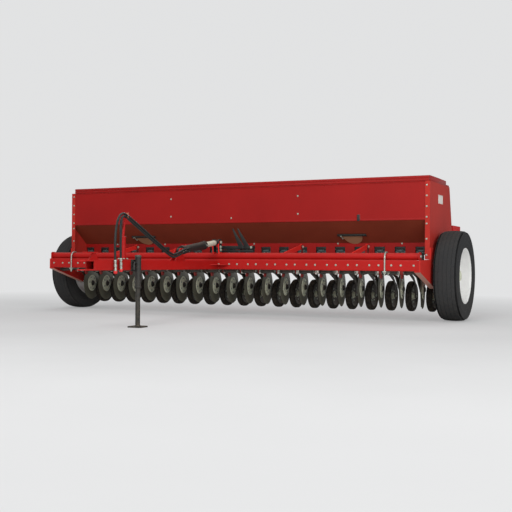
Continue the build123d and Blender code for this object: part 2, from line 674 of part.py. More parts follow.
def rear_board():
    """Walking board, a folded sheet open below, on brackets from the hopper's rear slope."""
    half, skin, low = BAR_HALF - 10, BOARD_SHEET, BOARD_LOW
    board = block(-half, half, BOARD_FRONT, BOARD_REAR, low, BOARD_TOP)
    board -= block(skin - half, half - skin, BOARD_FRONT + skin, BOARD_REAR - skin, low, BOARD_TOP - skin)
    outline = [(960, rear_slope_z(960)), (1096, rear_slope_z(1096)), (1170, low), (BOARD_REAR, low),
               (BOARD_REAR, low - 14), (1120, low - 34)]
    for x in spread(BOARD_ARMS, BOARD_INSET):
        board += side_plate(outline, x - 5, x + 5)
    return board


# ---------------------------------------------------------------- hydraulic hoses
# Route of each hose from its coupler to near its port, as X, Y, Z.
HOSE_ROUTES = {
    "hose_raise": [(58, -1623, 518), (58, -1627, 603), (57, -1622, 690), (50, -1600, 769), (34, -1553, 834),
                   (14, -1486, 871), (4, -1412, 874), (42, -820, 563), (49, -757, 570), (51, -697, 588)],
    "hose_lower": [(58, -1553, 532), (58, -1556, 612), (57, -1552, 692), (50, -1548, 770), (38, -1524, 822),
                   (20, -1475, 851), (4, -1417, 852), (42, -826, 543), (49, -760, 549), (51, -697, 566)],
}
PORT_SIDE = {"hose_raise": -1, "hose_lower": 1}


def on_cylinder(x, y, z):
    """A point drawn beside the upright cylinder, laid over with it."""
    tilt = radians(CYL_TILT)
    return (x, CYL_BASE_Y + z * cos(tilt) + y * sin(tilt), CYL_BASE_Z + z * sin(tilt) - y * cos(tilt))


def hose_points(name):
    y, z = PORT_SIDE[name] * PORT_SPREAD, PORT_ALONG - NIPPLE - HOSE_SEAT
    return HOSE_ROUTES[name] + [on_cylinder(PORT_X, y, z - HOSE_LEAD), on_cylinder(PORT_X, y, z)]


def hose(name):
    """Straight runs joined by the largest tangent arcs their lengths allow."""
    points = [Vector(*point) for point in hose_points(name)]
    runs = [b - a for a, b in zip(points, points[1:])]
    radii = []
    for before, after in zip(runs, runs[1:]):
        half_turn = radians(before.get_angle(after) / 2)
        radii.append(0.45 * min(before.length, after.length) / tan(half_turn))
    path = FilletPolyline(*points, radius=radii)
    section = pi * HOSE_R ** 2
    corner = sqrt(2 * section / HOSE_CORNERS / sin(2 * pi / HOSE_CORNERS))
    tube = sweep(Plane(origin=points[0], z_dir=runs[0]) * RegularPolygon(corner, HOSE_CORNERS), path=path)
    print(name, "length", round(path.length), "volume ratio", round(tube.volume / (section * path.length), 4))
    return tube


def coupler(name):
    """Ribbed coupler at a hose's free end with its dust cap."""
    first, second = [Vector(*point) for point in HOSE_ROUTES[name][:2]]
    down = (first - second).normalized()
    steps = [(11, 24), (8, 10), (12, 22), (9, 8), (11, COUPLER - 64), (13, CAP)]
    solid, origin = None, first
    for radius, length in steps:
        piece = extrude(Plane(origin=origin, z_dir=down) * RegularPolygon(radius, 12), length)
        solid = piece if solid is None else solid + piece
        origin = origin + down * length
    return solid


# ---------------------------------------------------------------- write the nodes
put("toolbar", toolbar())
put("wheel_brackets", *both_ends(wheel_bracket))
put("hopper_ends", *both_ends(hopper_end))
for end, side in (("left", -1), ("right", 1)):
    put(f"tyre_{end}", tyre(side))
    put(f"rim_{end}", rim(side))
put("tongue", tongue())
put("hitch_clevis", *hitch_clevis())
put("hose_post", hose_post())
put("jack_housing", jack_housing())
put("jack_leg", jack_leg())
put("rockshaft_clamps", *rockshaft_clamp(row_x(1) - 21), *rockshaft_clamp(row_x(ROWS - 2)))
put("opener_hangers", *[ear for pair in each_row(opener_hanger) for ear in pair])
put("lift_stop", lift_stop())
put("hopper_front_panel", front_panel())
put("hopper_front_slope", front_slope())
put("hopper_rear_panel", rear_panel())
put("hopper_rear_slope", rear_slope())
put("hopper_partitions", partition(-INNER_HALF / 3), partition(INNER_HALF / 3))
put("feed_trough", feed_trough())
put("feed_cups", *each_row(feed_cup))
put("seed_tubes", *each_row(seed_tube))
put("hopper_lid", lid())
put("lid_hinges", *[lid_hinge(x) for x in spread(HINGE_COUNT, HINGE_INSET)])
put("rockshaft", rockshaft())
put("rockshaft_arms", *[rockshaft_arm(x) for x in lift_xs()], crank())
put("cylinder_barrel", cylinder_barrel())
put("cylinder_rod", cylinder_rod())
put("cylinder_anchor", cylinder_anchor())
put("lift_bar", lift_bar())
put("lift_links", *[lift_link(x) for x in lift_xs()])
put("opener_arms", *each_row(opener_arm))
put("opener_castings", *each_row(opener_casting))
for number, solid in enumerate(each_row(disc), start=1):
    put(f"disc_{number:02d}", solid)
put("press_wheels", *each_row(press_wheel))
put("press_arms", *each_row(press_arm))
put("rear_board", rear_board())
for name in HOSE_ROUTES:
    put(name, hose(name))
put("hose_couplers", *[coupler(name) for name in HOSE_ROUTES])
print("length", BOARD_REAR - FRONT_END, "shift", SHIFT_Y)
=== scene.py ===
# %% [markdown]
# A seed drill stands on two end wheels and a jack. The frame, hopper, discs and joints come
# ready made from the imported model, at their real size. What is left is the look: paint, rubber,
# bare steel, small bolts, treads and hoses. Rows and wheels are placed from the joints and boxes
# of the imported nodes; smaller details are counted from the toolbar's front face, in metres.

# %% Load the machine
import bpy
import bmesh
import json
import math
from mathutils import Matrix, Vector


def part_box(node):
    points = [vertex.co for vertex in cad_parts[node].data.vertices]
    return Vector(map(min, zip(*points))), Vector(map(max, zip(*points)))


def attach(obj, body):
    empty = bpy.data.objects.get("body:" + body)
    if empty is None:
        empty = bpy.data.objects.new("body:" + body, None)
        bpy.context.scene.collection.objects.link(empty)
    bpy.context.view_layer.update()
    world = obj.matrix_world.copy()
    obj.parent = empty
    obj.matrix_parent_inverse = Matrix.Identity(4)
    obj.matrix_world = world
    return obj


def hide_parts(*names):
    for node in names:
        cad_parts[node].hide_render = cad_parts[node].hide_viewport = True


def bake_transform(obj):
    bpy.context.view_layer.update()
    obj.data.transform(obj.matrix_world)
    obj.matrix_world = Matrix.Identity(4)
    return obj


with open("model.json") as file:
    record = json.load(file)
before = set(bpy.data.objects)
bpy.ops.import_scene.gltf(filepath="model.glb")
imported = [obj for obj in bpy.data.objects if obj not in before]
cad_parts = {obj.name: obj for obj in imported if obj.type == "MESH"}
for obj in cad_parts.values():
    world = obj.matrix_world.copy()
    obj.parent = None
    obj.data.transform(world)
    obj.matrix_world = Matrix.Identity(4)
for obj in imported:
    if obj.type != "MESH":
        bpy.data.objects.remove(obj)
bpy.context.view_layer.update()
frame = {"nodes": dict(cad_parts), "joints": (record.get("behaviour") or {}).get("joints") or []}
nodes = frame["nodes"]
joints = {joint["name"]: joint for joint in frame["joints"]}
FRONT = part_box("toolbar")[0].y          # the toolbar's front face
BAR_LOW, BAR_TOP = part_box("toolbar")[0].z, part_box("toolbar")[1].z
DISC_DX = -.024                         # from a row's line to its disc
rows = [name for name in sorted(joints) if name.startswith("disc_turn")]
ROW_X = [joints[name]["pos_m"][0] - DISC_DX for name in rows]
print("nodes", len(nodes), "rows", len(ROW_X))

# %% [markdown]
# The camera comes first. It stands low in front of the machine, off its right wheel, and looks
# nearly level along the rows. A lens of about 59 mm keeps the far wheel from shrinking too much.

# %% Camera
EYE = Vector((3.7287, FRONT - 6.7271, .5108))
HEADING, RISE, ROLL = math.radians(26.172), math.radians(.3932), math.radians(.3762)


def add(name, data):
    """A new object with this data, linked into the scene."""
    made = bpy.data.objects.new(name, data)
    bpy.context.scene.collection.objects.link(made)
    return made


camera_data = bpy.data.cameras.new("camera")
camera_data.sensor_width, camera_data.lens = 36.0, 58.8
camera = add("camera", camera_data)
level = math.cos(RISE)
gaze = Vector((-math.sin(HEADING) * level, math.cos(HEADING) * level, math.sin(RISE)))
across = Vector((math.cos(HEADING), math.sin(HEADING), 0))
over = across.cross(gaze)
right = across * math.cos(ROLL) + over * math.sin(ROLL)
top = over * math.cos(ROLL) - across * math.sin(ROLL)
camera.matrix_world = Matrix.Translation(EYE) @ Matrix((right, top, -gaze)).transposed().to_4x4()
bpy.context.scene.camera = camera
print("camera", tuple(round(x, 3) for x in camera.location))

# %% [markdown]
# A studio for a large machine is a pale floor under wide, soft lamps. The key lamp stands high
# in front, a fill lamp and a low one on the machine's right reach its end sheet and its discs,
# and weaker ones from above and behind part it from the ground. A pale surround keeps the
# shaded slopes readable.

# %% Floor and light
bpy.context.scene.view_settings.view_transform = "Standard"
LAMPS = [  # name, place, size in metres, watts
    ("key", (1.2, -7.4, 4.6), 3.2, 300),
    ("fill", (6.8, -3.4, 2.4), 3.6, 150),
    ("low", (4.9, -5.9, .9), 1.6, 60),
    ("top", (0.0, 0.6, 6.5), 6.0, 100),
    ("rear", (-3.2, 7.2, 3.4), 4.0, 120),
]
MIDDLE = Vector((0, 0, .7))             # what the lamps are aimed at


def lamp(name, place, size, power):
    """A square soft lamp aimed at the middle of the machine."""
    data = bpy.data.lights.new(name, "AREA")
    data.size, data.energy = size, power
    made = add(name, data)
    made.location = place
    made.rotation_euler = (MIDDLE - Vector(place)).to_track_quat("-Z", "Y").to_euler()


for row in LAMPS:
    lamp(*row)
bpy.ops.object.select_all(action="DESELECT")
bpy.ops.mesh.primitive_plane_add(size=60)
floor = bpy.context.object
floor.name = "floor"
world = bpy.data.worlds.new("surround")
bpy.context.scene.world = world
world.use_nodes = True
surround = world.node_tree.nodes["Background"].inputs
surround["Color"].default_value = (.86, .87, .88, 1)
surround["Strength"].default_value = .46
print("lamps", [name for name, *_ in LAMPS])

# %% [markdown]
# Paint, steel and rubber all share a few effects: broad mottling, dust that settles on what
# faces up or sits low, worn edges and a fine skin. Each effect is a shader node group that is
# built once. A material then only sets how strong it is.

# %% Tools for node groups
COLOUR, NUMBER, DIRECTION = "NodeSocketColor", "NodeSocketFloat", "NodeSocketVector"


def feed(tree, target, inputs):
    """Set a node's inputs; each is a value or another node's output."""
    for key, value in inputs.items():
        if isinstance(value, bpy.types.NodeSocket):
            tree.links.new(value, target.inputs[key])
        else:
            target.inputs[key].default_value = value


def node(tree, kind, inputs=(), **settings):
    """Add a shader node, set it up and feed it."""
    made = tree.nodes.new("ShaderNode" + kind)
    for key, value in settings.items():
        setattr(made, key, value)
    feed(tree, made, dict(inputs))
    return made


def effect(name, takes, gives):
    """An empty node group: its tree, what it takes and the node that gives its results."""
    tree = bpy.data.node_groups.new(name, "ShaderNodeTree")
    for way, sockets in (("INPUT", takes), ("OUTPUT", gives)):
        for label, kind in sockets.items():
            tree.interface.new_socket(label, in_out=way, socket_type=kind)
    return tree, tree.nodes.new("NodeGroupInput").outputs, tree.nodes.new("NodeGroupOutput")


def maths(tree, operation, first, second=0.0):
    return node(tree, "Math", {0: first, 1: second}, operation=operation).outputs[0]


def remap(tree, value, low, high, to_low=0.0, to_high=1.0):
    inputs = {"Value": value, "From Min": low, "From Max": high, "To Min": to_low,
              "To Max": to_high}
    return node(tree, "MapRange", inputs).outputs["Result"]


def scaled(tree, colour, share):
    """A colour made darker or lighter."""
    return node(tree, "VectorMath", {0: colour, "Scale": share}, operation="SCALE").outputs[0]


def noise(tree, scale, detail):
    """Noise that lies still in the piece's own space."""
    place = node(tree, "TexCoord").outputs["Object"]
    cloud = node(tree, "TexNoise", {"Vector": place, "Scale": scale, "Detail": detail})
    return cloud.outputs["Fac"]


print("node tools ready")

# %% [markdown]
# Old paint isn't one red. It is a little lighter and darker in soft patches, and field dust lies
# on ledges and thickens towards the ground. The group mixes both into the base colour and gives
# the dust out again, because dust is also rougher than paint.

# %% Effect: patches and dust
DUST = (.2, .155, .11, 1)
patches, take, give = effect(
    "patches_and_dust", {"Color": COLOUR, "Dust": NUMBER, "Patches": NUMBER, "Scale": NUMBER},
    {"Color": COLOUR, "Dust": NUMBER})
swing = remap(patches, noise(patches, take["Scale"], 5.0), .3, .7, -1.0, 1.0)
shade = maths(patches, "ADD", maths(patches, "MULTIPLY", swing, take["Patches"]), 1.0)
tinted = scaled(patches, take["Color"], shade)
place = node(patches, "TexCoord").outputs
upward = node(patches, "SeparateXYZ", {0: place["Normal"]}).outputs["Z"]
facing_up = remap(patches, upward, .25, 1.0)
height = node(patches, "SeparateXYZ", {0: place["Object"]}).outputs["Z"]
low_down = remap(patches, height, .62, .02, 0.0, .85)
amount = maths(patches, "MULTIPLY", maths(patches, "ADD", facing_up, low_down), take["Dust"])
grainy = remap(patches, noise(patches, 46.0, 6.0), .3, .66)
dusty = node(patches, "Clamp", {0: maths(patches, "MULTIPLY", amount, grainy)}).outputs[0]
soiled = node(patches, "Mix", {"Factor": dusty, 6: tinted, 7: DUST}, data_type="RGBA").outputs[2]
feed(patches, give, {"Color": soiled, "Dust": dusty})
print("group", patches.name, [item.name for item in patches.interface.items_tree])

# %% [markdown]
# Edges lose their paint first. Where a rounded version of the surface would point another way
# than the surface does, there is an edge, so the group compares the two and breaks the line up
# with noise. The rounded direction goes out too and softens every hard corner in the light.

# %% Effect: worn edges
BARE_STEEL = (.3, .29, .27, 1)
EDGE_RADIUS = .003
edges, take, give = effect("worn_edges", {"Color": COLOUR, "Wear": NUMBER},
                           {"Color": COLOUR, "Normal": DIRECTION})
soft = node(edges, "Bevel", {"Radius": EDGE_RADIUS}, samples=6).outputs[0]
true = node(edges, "NewGeometry").outputs["Normal"]
agree = node(edges, "VectorMath", {0: soft, 1: true}, operation="DOT_PRODUCT").outputs["Value"]
chipped = remap(edges, noise(edges, 38.0, 4.0), .5, .6)
worn = maths(edges, "MULTIPLY", remap(edges, agree, .97, .8), chipped)
worn = maths(edges, "MULTIPLY", worn, take["Wear"])
rubbed_off = node(edges, "Mix", {"Factor": worn, 6: take["Color"], 7: BARE_STEEL}, data_type="RGBA")
feed(edges, give, {"Color": rubbed_off.outputs[2], "Normal": soft})
print("group", edges.name)

# %% [markdown]
# No surface is perfectly smooth. Sprayed paint has an orange peel, castings are sandy and rubber
# is finely pitted. One group makes a height from two sizes of noise.

# %% Effect: fine skin
skin, take, give = effect("fine_skin", {"Scale": NUMBER}, {"Height": NUMBER})
coarse = maths(skin, "MULTIPLY", noise(skin, 9.0, 2.0), .4)
feed(skin, give, {"Height": maths(skin, "ADD", noise(skin, take["Scale"], 3.0), coarse)})
print("group", skin.name)

# %% [markdown]
# Turned steel shows fine rings about its axle. The turned pieces carry a UV map that holds the
# distance from the axle and the angle round it, so the rings follow each disc wherever it sits.

# %% Effect: turned rings
rings, take, give = effect("turned_rings", {"Spacing": NUMBER}, {"Rings": NUMBER})
polar = node(rings, "UVMap", uv_map="polar").outputs["UV"]
polar = node(rings, "SeparateXYZ", {0: polar}).outputs
spaced = maths(rings, "MULTIPLY", polar["X"], take["Spacing"])
round_it = {0: spaced, 1: maths(rings, "COSINE", polar["Y"]), 2: maths(rings, "SINE", polar["Y"])}
ring_place = node(rings, "CombineXYZ", round_it).outputs[0]
ring_noise = node(rings, "TexNoise", {"Vector": ring_place, "Scale": 1.0, "Detail": 4.0})
feed(rings, give, {"Rings": ring_noise.outputs["Fac"]})
print("group", rings.name)

# %% [markdown]
# Every finish is built the same way: base colour, then dust, then worn edges, with the skin as
# bump. Only the numbers change between sprayed steel, castings, rubber and bare metal.

# %% Finishes
def linear(shade):
    """One share of a colour as a colour chart writes it, 0 to 255, made linear."""
    return (shade / 255 / 12.92) if shade < 10 else ((shade / 255 + .055) / 1.055) ** 2.4


def finish(name, colour, rough=.42, metal=0.0, dust=.25, spots=.1, wear=.5, grain=120.0,
           bump=.12, coat=0.0, shine=.5, scale=3.0, ringed=None):
    """A material with dust, patches, worn edges and a fine skin; ringed if it was turned."""
    made = bpy.data.materials.new(name)
    made.use_nodes = True
    tree = made.node_tree
    base = (*(linear(shade) for shade in colour), 1)
    if ringed:
        ring = node(tree, "Group", {"Spacing": ringed}, node_tree=rings).outputs[0]
        base = scaled(tree, base[:3], remap(tree, ring, .3, .7, .72, 1.25))
    soil = node(tree, "Group", {"Color": base, "Dust": dust, "Patches": spots, "Scale": scale},
                node_tree=patches).outputs
    worn = node(tree, "Group", {"Color": soil["Color"], "Wear": wear}, node_tree=edges).outputs
    height = node(tree, "Group", {"Scale": grain}, node_tree=skin).outputs[0]
    bumped = node(tree, "Bump", {"Strength": bump, "Distance": .002, "Normal": worn["Normal"],
                                 "Height": height}).outputs[0]
    rougher = maths(tree, "ADD", maths(tree, "MULTIPLY", soil["Dust"], .35), rough)
    feed(tree, tree.nodes["Principled BSDF"], {
        "Base Color": worn["Color"], "Roughness": rougher, "Metallic": metal, "Coat Weight": coat,
        "Specular IOR Level": shine, "Coat Roughness": .25, "Normal": bumped})
    return made


hopper_red = finish("hopper_red", (150, 24, 22), rough=.5, shine=.14, dust=.1, spots=.06, wear=.35)
# Painted light: a lighter, paler copy of the red paint for the end sheets, whose faces turn to the
# light.
lit_end_red = finish("end_sheet_lit_red", (176, 48, 40), rough=.62, shine=.1, dust=.1, spots=.08, wear=.35)
# Painted light: a brighter copy of the frame red for the walking board, whose end faces the light.
lit_board_red = finish("lit_board_red", (196, 24, 24), rough=.6, shine=.1, dust=.1, spots=.06, wear=.35)
# Painted light: a brighter, lit-looking copy of the red for the rockshaft arms.
lit_arm_red = finish("lit_arm_red", (226, 44, 38), rough=.55, shine=.15, dust=.1, spots=.06, wear=.3)
# Painted light: a lighter copy of the red for the wheel brackets, whose sides face the light.
lit_bracket_red = finish("lit_bracket_red", (196, 44, 38), rough=.6, shine=.1, dust=.14, spots=.08, wear=.3)
# Painted shade: a darker copy of the red paint for the lift links.
shaded_link_red = finish("shaded_link_red", (96, 30, 26), rough=.6, shine=.2, wear=.4)
# Painted shade: a darker, browner copy of the red for the downward-facing slopes and partitions,
# with the ground's reflected colour in it.
shaded_slope_red = finish("shaded_slope_red", (128, 54, 37), rough=.65, shine=.1, dust=.2, wear=.2)
frame_red = finish("frame_red", (172, 20, 18), rough=.46, shine=.18, dust=.14, spots=.07, wear=.22)
casting_red = finish("casting_red", (150, 34, 30), rough=.55, dust=.3, grain=60.0, bump=.4, wear=.6)
black_paint = finish("black_paint", (30, 32, 31), rough=.5, shine=.3, dust=.3, wear=.6)
arm_black = finish("arm_black", (52, 52, 46), rough=.55, dust=.55, wear=.7)
disc_steel = finish("disc_steel", (98, 98, 82), rough=.45, metal=.3, dust=.35, wear=.2,
                    ringed=240.0)
hub_grey = finish("hub_grey", (226, 230, 204), rough=.55, wear=.4, ringed=120.0)
zinc = finish("zinc", (160, 166, 158), rough=.38, metal=.7, dust=.08, wear=.2, spots=.12,
              scale=30.0)
bright_bolt = finish("bright_bolt", (168, 176, 162), rough=.46, metal=.4, dust=.06, wear=.2)
rod_chrome = finish("rod_chrome", (214, 216, 216), rough=.12, metal=1.0, dust=.04, wear=0.0,
                    bump=.02)
collar_tan = finish("collar_tan", (206, 206, 188), rough=.46, metal=.2, dust=.15)
tyre_rubber = finish("tyre_rubber", (50, 51, 52), rough=.85, shine=.12, dust=.1, wear=0.0,
                     grain=220.0, bump=.3)
press_rubber = finish("press_rubber", (30, 30, 30), rough=.8, shine=.15, dust=.35, wear=0.0,
                      grain=220.0, bump=.3)
hose_rubber = finish("hose_rubber", (24, 29, 28), rough=.5, shine=.3, dust=.1, spots=.08,
                     wear=0.0, grain=400.0, bump=.15)
tube_rubber = finish("tube_rubber", (58, 62, 60), rough=.66, wear=0.0, grain=220.0)
rim_white = finish("rim_white", (240, 240, 238), rough=.38, coat=.2, dust=.1, spots=.05, wear=.3)
feed_grey = finish("feed_grey", (70, 84, 84), rough=.55, dust=.2, wear=.4, grain=90.0, bump=.25)
feed_black = finish("feed_black", (26, 28, 28), rough=.6, dust=.12, wear=.2)
quadrant_tan = finish("quadrant_tan", (176, 128, 96), rough=.45, metal=.2, dust=.12)
clamp_orange = finish("clamp_orange", (156, 84, 58), rough=.5, dust=.12, wear=.3)
cap_red = finish("cap_red", (206, 30, 30), rough=.4, dust=.08, wear=.1)
pale_plate = finish("pale_plate", (222, 214, 206), dust=.05, wear=.2)
print("finishes", len(bpy.data.materials))

# %% [markdown]
# The imported nodes that stay in sight get their finish by name, and the rest is frame red.

# %% Paint the imported nodes
# Lighter and darker copies of the red paint go to the end sheets, slopes, board, brackets, arms and
# links: painted light and painted shade.
NODE_FINISH = {
    "hopper_front_panel": hopper_red, "hopper_rear_panel": hopper_red, "hopper_ends": lit_end_red,
    "hopper_front_slope": shaded_slope_red, "hopper_rear_slope": shaded_slope_red, "hopper_partitions": shaded_slope_red,
    "lid_hinges": hopper_red, "feed_trough": hopper_red, "feed_cups": feed_grey,
    "rear_board": lit_board_red, "wheel_brackets": lit_bracket_red, "rockshaft_arms": lit_arm_red,
    "lift_bar": black_paint, "lift_links": shaded_link_red, "cylinder_barrel": black_paint,
    "opener_hangers": arm_black, "opener_arms": arm_black, "press_arms": arm_black,
    "opener_castings": casting_red}


def coated(piece, coat):
    """Give a piece one finish and nothing else."""
    piece.data.materials.clear()
    piece.data.materials.append(coat)
    return piece


for name, packed in nodes.items():
    coated(packed, NODE_FINISH.get(name, frame_red))
print("painted", len(nodes), "nodes")

# %% [markdown]
# The new pieces are modelled from primitives, as by hand. A few moves come back all the time:
# pull a circle's corners into an outline, fill and extrude it, ease the edges of a block, and
# bend a rod. They are written down once here. Everything is deselected first, because an
# operator acts on all that is selected.

# %% Modelling tools
def at(x, y, z):
    """A point whose Y is counted from the toolbar's front face."""
    return Vector((x, FRONT + y, z))


def only(*pieces):
    """Leave edit mode and select these pieces and nothing else."""
    if bpy.context.mode != "OBJECT":
        bpy.ops.object.mode_set(mode="OBJECT")
    bpy.ops.object.select_all(action="DESELECT")
    for piece in pieces:
        piece.select_set(True)
        bpy.context.view_layer.objects.active = piece


def edit(piece):
    """Go into edit mode on one piece with its whole mesh selected."""
    only(piece)
    bpy.ops.object.mode_set(mode="EDIT")
    bpy.ops.mesh.select_mode(type="FACE")
    bpy.ops.mesh.select_all(action="SELECT")


def pick(piece, test):
    """In edit mode, select the faces whose middle and normal pass the test."""
    bpy.ops.mesh.select_all(action="DESELECT")
    shape = bmesh.from_edit_mesh(piece.data)
    shape.normal_update()
    for face in shape.faces:
        if test(face.calc_center_median(), face.normal):
            face.select_set(True)
    bmesh.update_edit_mesh(piece.data)


def ring_of(points):
    """A closed wire: a circle with as many corners as there are points, each pulled to one."""
    only()
    bpy.ops.mesh.primitive_circle_add(vertices=len(points), radius=1)
    wire = bpy.context.object
    for corner, point in zip(wire.data.vertices, points):
        corner.co = point
    bpy.ops.object.mode_set(mode="EDIT")
    bpy.ops.mesh.select_all(action="SELECT")
    return wire


def filled(points, push, ease=.0012, segments=2, taper=None):
    """A closed outline, filled and pushed out into a solid with eased edges."""
    made = ring_of(points)
    bpy.ops.mesh.edge_face_add()
    bpy.ops.mesh.extrude_region_move(TRANSFORM_OT_translate={"value": push})
    if taper:
        bpy.ops.transform.resize(value=taper)
    bpy.ops.mesh.select_all(action="SELECT")
    bpy.ops.mesh.normals_make_consistent(inside=False)
    if ease:
        bpy.ops.mesh.bevel(offset=ease, segments=segments, affect="EDGES")
    only(made)
    return made


def plate(outline, x0, x1, ease=.0012):
    """A plate across X with a (Y, Z) outline."""
    return filled([at(x0, y, z) for y, z in outline], (x1 - x0, 0, 0), ease)


def block(low, high, ease=.0015, segments=2):
    """A cube between two corners with eased edges."""
    only()
    low, high = Vector(low), Vector(high)
    bpy.ops.mesh.primitive_cube_add(size=1, location=(low + high) / 2, scale=high - low)
    made = bpy.context.object
    bpy.ops.object.transform_apply(location=True, rotation=True, scale=True)
    if ease:
        edit(made)
        bpy.ops.mesh.bevel(offset=ease, segments=segments, affect="EDGES")
        only(made)
    return made


def bent_rod(points, radius, corners=2):
    """Round bar bent along a line of points."""
    curve = bpy.data.curves.new("rod", "CURVE")
    curve.dimensions, curve.bevel_depth, curve.bevel_resolution = "3D", radius, corners
    curve.use_fill_caps = True
    line = curve.splines.new("POLY")
    line.points.add(len(points) - 1)
    for corner, point in zip(line.points, points):
        corner.co = (*point, 1)
    only(add("rod", curve))
    bpy.ops.object.convert(target="MESH")
    made = bpy.context.object
    edit(made)
    bpy.ops.mesh.remove_doubles(threshold=1e-6)
    bpy.ops.mesh.normals_make_consistent(inside=False)
    only(made)
    return made


def arc(centre, radius, start, end, steps):
    """Points of an arc in the YZ plane, angles in degrees from +Y."""
    angles = [math.radians(start + (end - start) * i / steps) for i in range(steps + 1)]
    return [centre + Vector((0, radius * math.cos(a), radius * math.sin(a))) for a in angles]


print("modelling tools ready")

# %% [markdown]
# A finished piece is often many copies of one part, or several parts in one. A copy has its own
# mesh, moved to its place. At the end a piece gets its name, its smooth faces and the body that
# it moves with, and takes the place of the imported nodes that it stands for.

# %% Placing tools
LEFT, RIGHT, FORWARD, BACK, UP = (-1, 0, 0), (1, 0, 0), (0, -1, 0), (0, 1, 0), (0, 0, 1)
shift = Matrix.Translation


def placed(piece, place):
    """Move the mesh of a piece."""
    piece.data.transform(place)
    return piece


def copied(pattern, place):
    """A copy of the pattern with its own mesh, at a place."""
    copy = pattern.copy()
    copy.data = pattern.data.copy()
    bpy.context.scene.collection.objects.link(copy)
    return placed(copy, place)


def together(*pieces):
    """Join pieces into the first one."""
    only(*reversed(pieces))
    bpy.ops.object.join()
    return bpy.context.object


def many(pattern, places):
    """A copy of the pattern at every place, all joined; the pattern goes."""
    copies = [copied(pattern, place) for place in places]
    bpy.data.objects.remove(pattern)
    return together(*copies) if len(copies) > 1 else copies[0]


def aim(point, direction, turn=0.0, along="Z"):
    """A place: the pattern's Z (or X) axis is turned to the direction."""
    tilt = Vector(direction).to_track_quat(along, "Y" if along == "Z" else "Z").to_matrix().to_4x4()
    return shift(point) @ tilt @ Matrix.Rotation(turn, 4, along)


def settle(piece, name, body, coat=None, smooth=35, stands_for=()):
    """Finish a piece, or a list of parts: one mesh, smooth shading, name, finish, body."""
    if isinstance(piece, list):
        piece = together(*piece)
    only(piece)
    bpy.ops.object.transform_apply(location=True, rotation=True, scale=True)
    bpy.ops.object.shade_smooth_by_angle(angle=math.radians(smooth))
    piece.name = piece.data.name = name
    if coat:
        coated(piece, coat)
    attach(piece, body)
    if stands_for:
        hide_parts(*stands_for)
    return piece


print("placing tools ready")

# %% [markdown]
# Wheels, discs, couplers and tubes are all turned shapes. Half of the section is drawn as an
# outline of distance along the axle and radius, and spun once round. The seam is merged, the
# normals are made to point outwards, and the "polar" UV map is written for the turned rings.

# %% Turned shapes
def turned(outline, steps, *finishes):
    """Spin an outline of (along, radius, finish number or nothing for 0) round the X axis."""
    made = ring_of([(point[0], 0, point[1]) for point in outline])
    bpy.ops.mesh.spin(steps=steps, angle=2 * math.pi, center=(0, 0, 0), axis=RIGHT)
    bpy.ops.mesh.select_all(action="SELECT")
    bpy.ops.mesh.remove_doubles(threshold=1e-5)
    bpy.ops.mesh.delete_loose()
    bpy.ops.mesh.select_all(action="SELECT")
    bpy.ops.mesh.normals_make_consistent(inside=False)
    only(made)
    shape = made.data
    shape.materials.clear()
    for coat in finishes:
        shape.materials.append(coat)
    polar_map = shape.uv_layers.new(name="polar")
    middles = [((a[0] + b[0]) / 2, (a[1] + b[1]) / 2, a[2] if len(a) > 2 else 0)
               for a, b in zip(outline, outline[1:] + outline[:1])]
    for face in shape.polygons:
        spots = [shape.vertices[i].co for i in face.vertices]
        along = sum(spot.x for spot in spots) / len(spots)
        far = sum(math.hypot(spot.y, spot.z) for spot in spots) / len(spots)
        if len(finishes) > 1:
            nearest = min(middles, key=lambda m: (m[0] - along) ** 2 + (m[1] - far) ** 2)
            face.material_index = nearest[2]
        turns = [math.atan2(spot.z, spot.y) for spot in spots]
        for loop, spot, turn in zip(face.loop_indices, spots, turns):
            if max(turns) - min(turns) > math.pi and turn < 0:
                turn += 2 * math.pi
            polar_map.data[loop].uv = (math.hypot(spot.y, spot.z), turn)
    return made


def mirrored(outline):
    """The other half of an outline that is the same both ways along its axis."""
    return [(-along, *rest) for along, *rest in reversed(outline)]


def turned_at(point, direction, outline, steps, *finishes):
    """A turned shape whose axis starts at a point and runs along a direction."""
    return placed(turned(outline, steps, *finishes), aim(point, direction, along="X"))


print("turning tools ready")

# %% [markdown]
# A machine like this is held together by hundreds of hexagon bolts. One is modelled with few
# faces: a washer, a six-sided head and a chamfer made by insetting and pulling up the middle of
# its top face. Every other bolt is a copy of it.

# %% The bolt pattern
def prism(corners, radius, tall, low):
    """An upright prism that stands at a height."""
    only()
    bpy.ops.mesh.primitive_cylinder_add(vertices=corners, radius=radius, depth=tall,
                                        location=(0, 0, low + tall / 2))
    bpy.ops.object.transform_apply(location=True)
    return bpy.context.object


def bolt(size, coat=None):
    """Hexagon head on a washer; it points along Z and stands on the origin."""
    thick, tall, chamfer, crown = size * .22, size * .62, size * .16, size * .14
    washer = prism(12, size * 1.38, thick, 0)
    head = prism(6, size, tall, thick)
    edit(head)
    pick(head, lambda middle, normal: normal.z > .9)
    bpy.ops.mesh.inset(thickness=chamfer)
    bpy.ops.transform.translate(value=(0, 0, crown))
    return coated(together(washer, head), coat or bright_bolt)


def bolts(size, points, direction, coat=None):
    """Bolts of one size at these points, all facing one way."""
    return many(bolt(size, coat), [aim(point, direction) for point in points])


def pin_heads(size, middle, out, coat=None):
    """The two heads of a pin along X, as far out from its middle on both sides."""
    spots = [aim(middle + Vector((side * out, 0, 0)), (side, 0, 0)) for side in (-1, 1)]
    return many(bolt(size, coat), spots)


def row_bolts(name, body, size, y, z, places, coat=None):
    """Bolts in every row; a place is a distance from the row's line and a direction."""
    spots = [aim((x + dx, y, z), direction, x) for x in ROW_X for dx, direction in places]
    settle(many(bolt(size, coat), spots), name, body)


